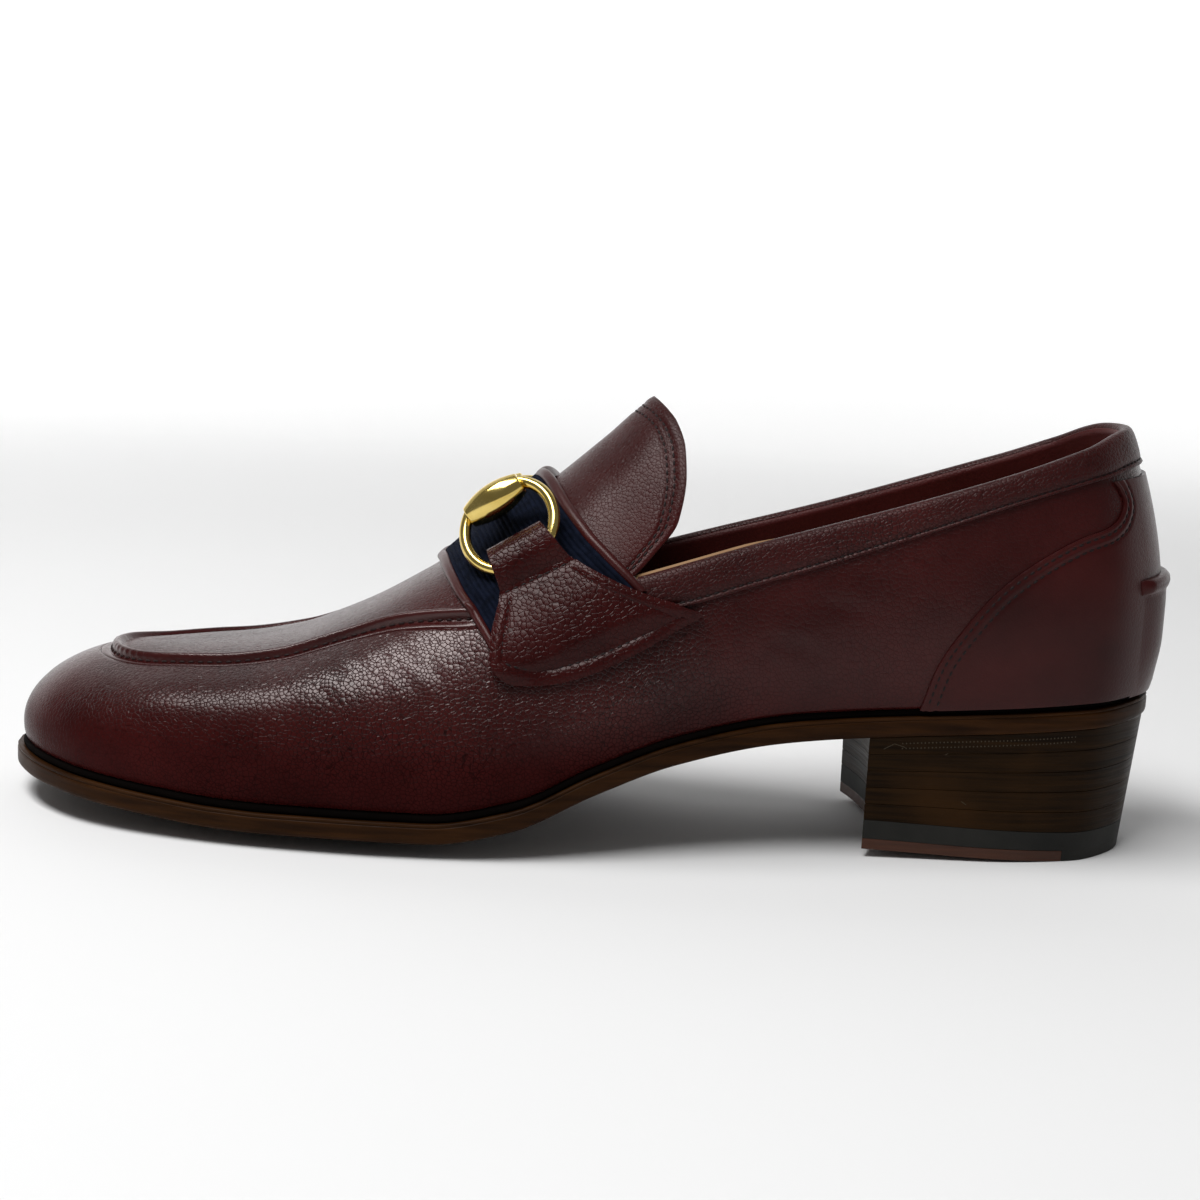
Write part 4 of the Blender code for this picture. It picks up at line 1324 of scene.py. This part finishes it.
def make_upper():
    """The vamp and quarters, the apron inside its rolled seam, and the lining behind them."""
    stations = rib_stations(RIBS)
    throat = stations.index(THROAT)
    front = stations[: throat + 1]
    leathers = []
    for leather in (UPPER_LEATHER, ROLL_LEATHER, APRON_LEATHER):
        leathers += [leather, LINING_LEATHER]

    def side_wall(i, j):
        station, side = around(stations, i)
        seam = seam_run(station, side)
        top = (seam + RIDGE_ROWS[0]) if station <= THROAT else seam
        run = top * j / SIDE_ROWS
        below = seam - run
        fade = ease(0.0, 3.0, below) * ease(0.0, 4.0, run)
        return skin(station, side, run, crease_lift(station, side, below) * fade)

    def roll(i, j):
        station, side = around(front, i)
        past = RIDGE_ROWS[j]
        run = seam_run(station, side) + past
        pull = 0.5 + 0.5 * cos(2 * pi * (along_seam(station, side) / SEAM_PITCH - 0.5))
        dip = SEAM_PULL * pull * hump(past, 0.35, 0.55) * ridge_fade(station)
        return skin(station, side, run, seam_lift(station, past) - dip)

    def apron(i, j):
        station, side = around(front, i)
        start = seam_run(station, side) + RIDGE_ROWS[-1]
        share = j / APRON_ROWS
        run = start + (rib_length(station, side) - start) * share
        return skin(station, side, run, seam_lift(station, RIDGE_ROWS[-1]) * (1 - share))

    mesh = new_mesh()
    add_grid(mesh, 2 * RIBS, SIDE_ROWS, side_wall)
    add_grid(mesh, 2 * throat, len(RIDGE_ROWS) - 1, roll, material=leathers.index(ROLL_LEATHER))
    add_grid(mesh, 2 * throat, APRON_ROWS, apron, material=leathers.index(APRON_LEATHER))
    weld(mesh)
    upper = finish_piece("upper_leather", mesh, leathers, ["upper"])
    thicken(upper, WALL, inner=1)

    def seam(side):
        def path(share):
            station = (RIDGE_END - 3.0) * share**1.6
            return on_skin(station, side, seam_run(station, side) - 0.3, -0.38)

        return path

    sew("apron_stitches", [seam(LATERAL), seam(MEDIAL)], APRON_STITCH, WAXED_THREAD)


# The section of the collar band, from its lower edge up over the topline and down inside: the share of
# its width below the topline, and the lift off the last
COLLAR_SECTION = (
    (1.0, 0.12),
    (1.0, 0.75),
    (0.97, 1.05),
    (0.92, 0.98),
    (0.885, 0.52),
    (0.86, 0.50),
    (0.825, 0.85),
    (0.65, 1.02),
    (0.40, 1.10),
    (0.20, 1.05),
    (0.08, 0.85),
    (0.0, 0.45),
    (-0.04, -0.1),
    (-0.06, -0.8),
    (-0.05, -1.6),
    (0.0, -2.2),
    (0.07, -2.5),
    (0.16, -2.5),
)


def make_collar():
    """The collar band rolled over the topline, its stitches, the facing inside it and the lining's edge."""
    count = 150
    rows = 16

    def band(i, down, lift):
        station, side = heel_strip(COLLAR_FRONT - 4.0, count, i)
        width = COLLAR["width"](station)
        return skin(station, side, seam_run(station, side) - width * down, lift)

    def furrow(share):
        station, side = heel_strip(COLLAR_FRONT + 4.0, 400, share * 400)
        run = seam_run(station, side) - COLLAR["width"](station) * COLLAR_FURROW
        return on_skin(station, side, run, 0.55)

    def inside(i, j):
        station, side = heel_strip(FACING_FRONT, count, i)
        run = seam_run(station, side) - 0.2 - FACING_DEPTH * j / rows
        bulge = 0.4 * sin(pi * j / rows)
        return skin(station, side, run, -WALL - 0.35 - bulge)

    def raw_edge(i, j):
        station, side = heel_strip(FACING_FRONT, count, i)
        hidden = 1.0 if side == MEDIAL else ease(188.0, 215.0, station)
        top = 1.25 - LINING_EDGE_DROP * hidden
        return skin(station, side, seam_run(station, side) + top - LINING_EDGE_DEPTH * j, -WALL + 0.35)

    collar = swept(count, COLLAR_SECTION, band)
    finish_piece("collar_leather", collar, COLLAR_LEATHER, ["collar_band"], sharp=70.0)
    sew("collar_stitches", [furrow], COLLAR_STITCH, THREAD)
    mesh = new_mesh()
    add_grid(mesh, count, rows, inside)
    facing = finish_piece("collar_facing", mesh, FACING_LEATHER)
    thicken(facing, FACING_THICKNESS, outward=True)
    mesh = new_mesh()
    add_grid(mesh, count, 1, raw_edge)
    lining = finish_piece("lining_edge", mesh, LINING_LEATHER)
    thicken(lining, LINING_EDGE_THICKNESS)


def counter_edge(travel):
    """The station and run of the counter's edge, from the sole up and round to the collar."""
    return COUNTER["station"](travel), COUNTER["run"](travel)


def stretch(station):
    """How much longer the shoe's side is than its plan at a station, which grows round the heel."""
    return min((edge(station + 0.4, LATERAL) - edge(station - 0.4, LATERAL)).length / 0.8, 4.0)


def inside_counter(travel, inset):
    """The station and run of a place at a distance inside the counter's edge."""
    station, run = counter_edge(travel)
    wide = stretch(station)
    ahead = Vector(counter_edge(min(travel + 0.01, 1.0)))
    ahead -= Vector(counter_edge(max(travel - 0.01, 0.0)))
    inward = Vector((ahead.y, -ahead.x * wide)).normalized() * inset
    return station + inward.x / wide, run + inward.y


def make_counter():
    """The heel counter with two rows of stitches along its curved edge."""
    along = 130
    rows = 70
    edge_spots = [counter_edge(step / 120) for step in range(121)]
    rim = [(station, run, stretch(station)) for station, run in edge_spots]

    def from_edge(station, run):
        return min(((station - s) * wide) ** 2 + (run - r) ** 2 for s, r, wide in rim) ** 0.5

    def relief(station, run):
        """The furrows of the stitches and the swell between them. There are none round the back."""
        if station >= 294.0:
            return 0.0
        away = from_edge(station, run)
        lift = 0.12 * hump(away, 2.5, 0.7) - 0.35 * hump(away, 0.0, 0.4)
        for row in COUNTER_ROWS:
            lift -= 0.22 * hump(away, row, 0.5)
        return lift

    def spot(i, j):
        travel = j / rows
        side = LATERAL if i <= along else MEDIAL
        share = abs(i - along) / along
        start, run = counter_edge(travel)
        station = LENGTH - (LENGTH - start) * (1 - cos(pi / 2 * share))
        back = COUNTER_FOOT + (COUNTER_TOP - COUNTER_FOOT) * travel
        limit = seam_run(station, side) - COLLAR["width"](station) - 0.1
        return station, side, min(back + (run - back) * share**3, limit)

    def inner(i, j):
        return skin(*spot(i, j), 0.1)

    def outer(i, j):
        station, side, run = spot(i, j)
        return skin(station, side, run, COUNTER_LIFT + relief(station, run))

    mesh = plate(2 * along, rows, inner, outer)
    finish_piece("counter_leather", mesh, SMOOTH_LEATHER, ["counter"])

    def furrow(side, row):
        def path(share):
            station, run = inside_counter(0.02 + 0.95 * share, row)
            limit = seam_run(station, side) - COLLAR["width"](station)
            return on_skin(station, side, min(run, limit), 0.84)

        return path

    furrows = [furrow(side, row) for side in (LATERAL, MEDIAL) for row in COUNTER_ROWS]
    sew("counter_stitches", furrows, COUNTER_STITCH, THREAD)


def make_backstay():
    """The patch over the back seam, whose top end is folded into a thick edge."""
    count = 48
    rows = 14
    flat = BACKSTAY_TOP - 5.0
    rises = [flat * i / rows for i in range(rows + 1)]
    face = [(run, BACKSTAY_LIFT + 0.75) for run in rises]
    fold = [
        (BACKSTAY_TOP - 4.0, BACKSTAY_LIFT + 0.9),
        (BACKSTAY_TOP - 3.2, BACKSTAY_FOLD - 0.25),
        (BACKSTAY_TOP - 2.2, BACKSTAY_FOLD + 0.15),
        (BACKSTAY_TOP - 1.1, BACKSTAY_FOLD + 0.1),
        (BACKSTAY_TOP - 0.3, BACKSTAY_FOLD - 0.5),
        (BACKSTAY_TOP, BACKSTAY_LIFT + 0.5),
        (BACKSTAY_TOP, BACKSTAY_SEAT),
    ]
    back = [(run, BACKSTAY_SEAT) for run in reversed(rises)]

    def place(i, run, lift):
        station, side = heel_strip(BACKSTAY_FRONT, count, i)
        middle = 1 - abs(2 * i / count - 1)
        fade = ease(0.0, 0.55, middle) if run < BACKSTAY_TOP - 3.6 else ease(-0.05, 0.16, middle)
        fade *= 0.15 + 0.85 * ease(0.0, 13.0, run)
        return skin(station, side, run, BACKSTAY_SEAT + (lift - BACKSTAY_SEAT) * fade)

    mesh = swept(count, face + fold + back, place)
    finish_piece("backstay_leather", mesh, SMOOTH_LEATHER, ["backstay"], sharp=60.0)


def make_tongue():
    """The upright tongue: its grained face, its lining and two rows of stitches along the free edge."""
    along = 72
    rows = 120

    def spot(share_along, from_crest, side):
        share = 1 - from_crest
        start = THROAT + TONGUE_FOOT
        station = start + (TONGUE["end"](share) - start) * share_along
        low = seam_run(station, side) + TONGUE_FOOT
        return station, low + (rib_length(station, side) - low) * share

    def surface(lift, trim):
        def place(i, j):
            from_crest, side = over_crest(j, rows)
            station, run = spot(i / along * trim, from_crest, side)
            left = (1 - i / along) * (TONGUE["end"](1 - from_crest) - THROAT)
            furrows = sum(hump(left, row, 0.55) for row in TONGUE_ROWS)
            return skin(station, side, run, lift + (0.15 * hump(left, 1.3, 0.9) - 0.24 * furrows))

        return place

    mesh = new_mesh()
    add_grid(mesh, along, rows, surface(0.05, 1.0))
    face = finish_piece("tongue_leather", mesh, TONGUE_LEATHER, ["tongue"])
    thicken(face, TONGUE_THICKNESS)
    soften(face, 0.35)
    mesh = new_mesh()
    add_grid(mesh, along, rows, surface(-TONGUE_THICKNESS, 0.99))
    lining = finish_piece("tongue_lining", mesh, EDGE_LEATHER)
    thicken(lining, TONGUE_LINING)
    soften(lining, 0.3)

    def furrow(inset):
        def path(share):
            from_crest = abs(2 * share - 1) * 0.985
            side = LATERAL if share < 0.5 else MEDIAL
            length = TONGUE["end"](1 - from_crest) - THROAT
            station, run = spot(1 - inset / length, from_crest, side)
            return on_skin(station, side, min(run, rib_length(station, side) - 0.5), -0.12)

        return path

    sew("tongue_stitches", [furrow(row) for row in TONGUE_ROWS], TONGUE_STITCH, THREAD)


def band_drop(station):
    """How far below the seam the band ends, under the tab."""
    share = ease(BAND["front"](1.0), BAND["rear"](1.0), station)
    return BAND_DROP_FRONT + (BAND_DROP_REAR - BAND_DROP_FRONT) * share


def band_run(share, side, station):
    top = rib_length(station, side)
    end = seam_run(station, side) - band_drop(station)
    return top - (top - end) * share


def band_base(station, run, side):
    """The height of the leather under the band, which lies on the apron's roll where it crosses it."""
    return max(seam_lift(station, run - seam_run(station, side)), 0.0)


def band_crown(station, share):
    """The padding under the band over the instep, which grows towards the tongue."""
    front = BAND["front"](share)
    rearward = ease(front, front + 0.7 * (BAND["rear"](share) - front), station)
    return BAND_CROWN * rearward * (1 - ease(0.05, 0.45, share))


def make_saddle():
    """The ribbed webbing across the vamp and the leather bindings along its two edges."""
    steps = 6
    rows = 120
    margin = BINDING_WIDTH - 0.2

    def surface(lift, ribbed):
        def place(i, j):
            share, side = over_crest(j, rows)
            front = BAND["front"](share) + margin
            rear = BAND["rear"](share) - margin
            station = front + (rear - front) * i / (BAND_RIBS * steps)
            run = band_run(share, side, station)
            outside = BAND_RIB_HEIGHT * abs(sin(pi * i / steps)) + band_crown(station, share)
            return skin(station, side, run, lift + (outside if ribbed else 0.0))

        return place

    under = surface(LAYER_GAP, False)
    face = surface(LAYER_GAP + BAND_THICKNESS - 0.3, True)
    mesh = plate(BAND_RIBS * steps, rows, under, face)
    finish_piece("webbing_band", mesh, WEBBING, ["saddle_band"], sharp=80.0)

    section = [(0.0, 0.1)]
    for step in range(11):
        angle = pi * step / 10
        swell = (BINDING_THICKNESS - 0.55) * sin(angle) ** 0.7
        section.append((0.5 - 0.52 * cos(angle), BINDING_SHOULDER + swell))
    section.append((1.0, 0.1))
    for edge_name, inward in (("front", 1.0), ("rear", -1.0)):

        def place(i, share_in, lift, edge_name=edge_name, inward=inward):
            share, side = over_crest(i, rows)
            station = BAND[edge_name](share) + inward * BINDING_WIDTH * share_in
            run = band_run(share, side, station)
            crown = band_crown(station, share) * min(lift / BINDING_SHOULDER, 1.0)
            return skin(station, side, run, lift + crown + band_base(station, run, side))

        node = "saddle_binding_" + edge_name
        binding = swept(rows, section, place)
        name = f"binding_{edge_name}_leather"
        finish_piece(name, binding, EDGE_LEATHER, [node], sharp=60.0)


def bit_frame(side):
    """The middle of a barrel, the direction along it and the direction from it to its tab."""
    across = BIT_LATERAL if side == LATERAL else BIT_MEDIAL
    drop = BIT_DROP if side == MEDIAL else 0.0
    middle = Vector((BIT_STATION, across, BIT_HEIGHT - drop))
    along = Vector((cos(BIT_SLOPE), 0.0, sin(BIT_SLOPE)))
    lean = Vector((0.0, side * sin(RING_LEAN), 0.0))
    down = Vector((sin(BIT_SLOPE), 0.0, -cos(BIT_SLOPE))) * cos(RING_LEAN) + lean
    return middle, along, down


def tab_spot(share, along, side):
    """The station and the run of a place on a side tab."""
    station = TAB["front"](share) + (TAB["rear"](share) - TAB["front"](share)) * along
    height = TAB["front_height"](share)
    height += (TAB["rear_height"](share) - height) * along
    bow = along**TAB_BOW
    height -= TAB["sag"](share) * 4 * bow * (1 - bow)
    if side == MEDIAL:
        height -= BIT_DROP * (1 - ease(0.2, 0.8, share))
    return station, run_at_height(station, side, height)


def tab_lift(station, run, side):
    """The tab steps up from the upper onto the band, and off it again at the loop."""
    end = seam_run(station, side) - band_drop(station)
    step = ease(end - TAB_STEP_FOOT, end - TAB_STEP_TOP, run)
    return LAYER_GAP + (BAND_THICKNESS + LAYER_GAP) * step


def tab_width(share):
    """The width of a tab at a share of its length, from its front edge to its rear edge."""
    across = TAB["rear"](share) - TAB["front"](share)
    up = TAB["rear_height"](share) - TAB["front_height"](share)
    return (across * across + up * up) ** 0.5


def tab_length(along):
    """The length of a tab from its loop to its lower edge, which grows from its front edge to its rear."""
    return 25.0 + 15.0 * along


def tab_border(share, along):
    """The relief along a tab's edges: a rounded border and the furrow that its stitches lie in."""
    width = tab_width(share)
    away = min((1 - share) * tab_length(along), along * width, (1 - along) * width)
    relief = 0.30 * hump(away, 1.2, 0.8) - 0.40 * hump(away, TAB_BORDER, 0.5)
    return relief * ease(0.33, 0.50, share)


def make_tab(name, node, side):
    """A side tab: one piece of leather sewn down, folded over the ring and back under itself."""
    width = 96
    rows = 130
    mesh = new_mesh()

    def place(i, j):
        travel = j / rows
        along = i / width
        share = TAB_FOLD["share"](travel)
        part = TAB_FOLD["part"](travel)
        station, run = tab_spot(share, along, side)
        flat = tab_lift(station, run, side)
        top = LOOP_LIFT - TAB_THICKNESS
        relief = 0.0
        if travel < 0.7:
            relief = tab_border(share, along) - 0.35 * hump(share, TAB_SEAM, 0.022)
        return skin(station, side, run, flat + (top - flat) * part + relief)

    add_grid(mesh, width, rows, place, flip=side == MEDIAL)
    piece = finish_piece(name, mesh, TAB_LEATHER, [node], sharp=50.0)
    thicken(piece, TAB_THICKNESS, outward=True)
    soften(piece, 0.4)

    def on_tab(share, along):
        station, run = tab_spot(share, along, side)
        lift = tab_lift(station, run, side) + TAB_THICKNESS - 0.3
        return on_skin(station, side, run, lift)

    def along_foot(travel):
        along = 0.07 + 0.87 * travel
        return on_tab(1 - TAB_BORDER / tab_length(along), along)

    def along_front(travel):
        share = 0.40 + 0.48 * travel
        return on_tab(share, TAB_BORDER / tab_width(share))

    def along_rear(travel):
        share = 0.38 + 0.54 * travel
        return on_tab(share, 1 - TAB_BORDER / tab_width(share))

    def under_loop(travel):
        return on_tab(TAB_SEAM, 0.05 + 0.9 * travel)

    rows_of_stitches = [along_foot, along_front, along_rear, under_loop]
    sew(name + "_stitches", rows_of_stitches, TAB_STITCH, THREAD)


def make_ring(name, node, side):
    """A ring of round wire whose two ends run into the ends of its barrel."""
    middle, along, down = bit_frame(side)
    centre = middle + down * (RING_ARM + RING_DROP)
    axes = Matrix((along, down, along.cross(down))).transposed().to_4x4()
    opening = acos(RING_ARM / RING_RADIUS) - RING_END
    start = -pi / 2 + opening
    sweep = 2 * pi - 2 * opening
    spot = Vector((RING_RADIUS * cos(start), RING_RADIUS * sin(start), 0.0)) * MM
    upright = Matrix.Rotation(start, 4, "Z") @ Matrix.Rotation(pi / 2, 4, "X")
    place = Matrix.Translation(spot) @ upright
    mesh = new_mesh()
    bmesh.ops.create_circle(mesh, segments=20, radius=WIRE_RADIUS * MM, matrix=place)
    section = mesh.edges[:]
    pin = Vector((0.0, 0.0, 1.0))
    bmesh.ops.spin(mesh, geom=section, cent=(0.0, 0.0, 0.0), axis=pin, angle=sweep, steps=96)
    close_ends(mesh)
    bmesh.ops.transform(mesh, matrix=Matrix.Translation(world(*centre)) @ axes, verts=mesh.verts)
    finish_piece(name, mesh, GOLD, [node], sharp=60.0)


def add_turned(mesh, profile, length, radius, start, axis, segments=40):
    """Adds a shape turned from a table of shares along the axis and of the radius."""
    toward = axis.normalized()
    beside = toward.orthogonal().normalized()
    third = toward.cross(beside)

    def place(i, j):
        far, wide = profile[j]
        angle = 2 * pi * i / segments
        spoke = beside * cos(angle) + third * sin(angle)
        return world(*(start + toward * length * far + spoke * radius * wide))

    add_grid(mesh, segments, len(profile) - 1, place)


def barrel_profile():
    """A barrel that is full in the middle and cut off flat at both ends."""
    rows = [(-1.0, 0.30), (-1.0, 0.70), (-0.99, 0.76), (-0.975, 0.795)]
    for step in range(25):
        share = -0.96 + 1.92 * step / 24
        rows.append((share, 0.80 + 0.44 * (1 - (share / 0.97) ** 2)))
    rows += [(0.975, 0.795), (0.99, 0.76), (1.0, 0.70), (1.0, 0.30)]
    return rows


# A bar from its barrel to the link, and the link: shares of the length and of the radius
BAR = (
    (0.02, 0.95),
    (0.20, 1.0),
    (0.30, 0.92),
    (0.50, 0.84),
    (0.75, 0.80),
    (0.88, 0.82),
    (0.94, 0.95),
    (0.98, 0.95),
    (1.0, 0.60),
)
LINK = (
    (-1.0, 0.50),
    (-0.9, 0.78),
    (-0.5, 0.98),
    (0.0, 1.0),
    (0.5, 0.98),
    (0.9, 0.78),
    (1.0, 0.50),
)


def make_bit():
    """The gold snaffle bit: rings, barrels with their bars, and the link in the middle."""
    centre = (bit_frame(LATERAL)[0] + bit_frame(MEDIAL)[0]) / 2
    rise = Vector((0.0, 0.0, BARREL_RISE))
    for side, word in ((LATERAL, "lateral"), (MEDIAL, "medial")):
        make_ring(f"gold_ring_{word}", f"ring_{word}", side)
        middle, along, _ = bit_frame(side)
        inward = centre - middle
        level = Matrix.Rotation(BARREL_LEVEL, 3, "Y") @ along
        mesh = new_mesh()
        add_turned(mesh, barrel_profile(), BARREL_LENGTH / 2, BARREL_RADIUS, middle + rise, level)
        add_turned(mesh, BAR, inward.length - LINK_LENGTH / 2, BAR_RADIUS, middle, inward)
        weld(mesh)
        close_ends(mesh)
        finish_piece(f"gold_bar_{word}", mesh, GOLD, [f"bar_{word}"], sharp=50.0)
    mesh = new_mesh()
    add_turned(mesh, LINK, LINK_LENGTH / 2, LINK_RADIUS, centre, Vector((0.0, 1.0, 0.0)))
    weld(mesh)
    close_ends(mesh)
    finish_piece("gold_link", mesh, GOLD, ["bit_link"], sharp=50.0)


# Sizes of the stage, in metres
FLOOR_WIDTH = 7.0
FLOOR_DEPTH = 6.0
FLOOR_BEFORE = 3.6
FLOOR_NEAR = 1.5
FLOOR_STRETCH = 2.3
BEND_START = 0.9
BEND_END = 2.4
BACKDROP_STEEP = 1.6


def far_out(value):
    """Keeps a length that is near the shoe, and stretches it further out."""
    past = max(abs(value) - FLOOR_NEAR, 0.0)
    return copysign(min(abs(value), FLOOR_NEAR) + FLOOR_STRETCH * past**3, value)


def pale_paper():
    """Pale paper that glows far from the shoe, near the floor, and isn't sampled as a lamp."""
    made = Finish("Pale paper", (0.81, 0.81, 0.81), 0.95, gloss=0.05)
    shade = made.noise(3.0, 2.0)
    made.link("Base Color", made.tones(shade, (0.2, (0.80, 0.80, 0.80)), (0.8, (0.82, 0.82, 0.82))))
    made.set("Emission Color", (1.0, 1.0, 1.0, 1.0))
    away = made.node("ShaderNodeVectorMath", {"operation": "LENGTH"}, Vector=made.where).outputs["Value"]
    glow = made.between(away, 0.45, 1.9, 0.0, 0.72)
    low = made.between(made.place()["Z"], 0.35, 0.7, 1.0, 0.0)
    made.link("Emission Strength", made.times(glow, low))
    made.material.cycles.emission_sampling = "NONE"
    return made.material


def make_stage():
    """A wide pale floor that curves up into a pale backdrop behind the shoe and glows softly far from it."""
    floor = bmesh.new()
    made = bmesh.ops.create_grid(floor, x_segments=40, y_segments=120, size=0.5)
    for vert in made["verts"]:
        far = FLOOR_DEPTH * (vert.co.y + 0.5) - FLOOR_BEFORE
        bend = ease(BEND_START, BEND_END, far)
        near = far_out(far) if far < 0 else far - 0.9 * bend * max(far - 1.2, 0.0)
        rise = BACKDROP_STEEP * bend * max(far - BEND_START, 0.0)
        vert.co = (far_out(FLOOR_WIDTH * vert.co.x), near, rise)
    data = bpy.data.meshes.new("floor")
    floor.to_mesh(data)
    floor.free()
    data.shade_smooth()
    data.materials.append(pale_paper())
    stage = bpy.data.objects.new("floor", data)
    bpy.context.scene.collection.objects.link(stage)


def add_light(name, place, target, size, power):
    """A rectangular softbox at a place, turned to its target."""
    lamp = bpy.data.lights.new(name, "AREA")
    lamp.shape = "RECTANGLE"
    lamp.size, lamp.size_y = size
    lamp.energy = power
    light = bpy.data.objects.new(name, lamp)
    bpy.context.scene.collection.objects.link(light)
    light.location = place
    toward = Vector(target) - Vector(place)
    light.rotation_euler = toward.to_track_quat("-Z", "Y").to_euler()


def make_lights():
    """A large softbox overhead, another that lights the backdrop, and a dim room."""
    room = bpy.data.worlds.new("Dim room")
    room.use_nodes = True
    walls = room.node_tree.nodes["Background"].inputs
    walls["Color"].default_value = (1.0, 1.0, 1.0, 1.0)
    walls["Strength"].default_value = 0.16
    bpy.context.scene.world = room
    add_light("overhead softbox", (-0.45, -0.34, 1.2), (-0.1, -0.08, 0.0), (1.2, 0.4), 18.5)
    add_light("backdrop softbox", (0.0, 0.75, 1.35), (0.0, 1.9, 0.5), (2.6, 0.5), 4.5)


CAMERA_PLACE = (0.0001, -0.5988, 0.16308)
CAMERA_PITCH = radians(9.92)
CAMERA_ROLL = radians(1.65)
CAMERA_TURN = 0.0197
CAMERA_LENS = 69.06


def make_camera():
    """The camera at the photograph's angle to the shoe."""
    lens = bpy.data.cameras.new("camera")
    lens.lens = CAMERA_LENS
    lens.sensor_width = 36.0
    camera = bpy.data.objects.new("camera", lens)
    bpy.context.scene.collection.objects.link(camera)
    level = Vector((1.0, 0.0, 0.0))
    forward = Vector((0.0, cos(CAMERA_PITCH), -sin(CAMERA_PITCH)))
    down = forward.cross(level)
    right = level * cos(CAMERA_ROLL) - down * sin(CAMERA_ROLL)
    below = level * sin(CAMERA_ROLL) + down * cos(CAMERA_ROLL)
    lean = Matrix.Rotation(-CAMERA_TURN, 3, "Y")
    axes = Matrix((lean @ right, lean @ -below, lean @ -forward)).transposed().to_4x4()
    camera.matrix_world = Matrix.Translation(CAMERA_PLACE) @ axes
    bpy.context.scene.camera = camera


make_camera()
make_sole()
make_heel()
make_upper()
make_collar()
make_counter()
make_backstay()
make_tongue()
make_saddle()
make_tab("tab_lateral_leather", "tab_lateral", LATERAL)
make_tab("tab_medial_leather", "tab_medial", MEDIAL)
make_bit()
make_stage()
make_lights()
bpy.context.scene.view_settings.view_transform = "Standard"
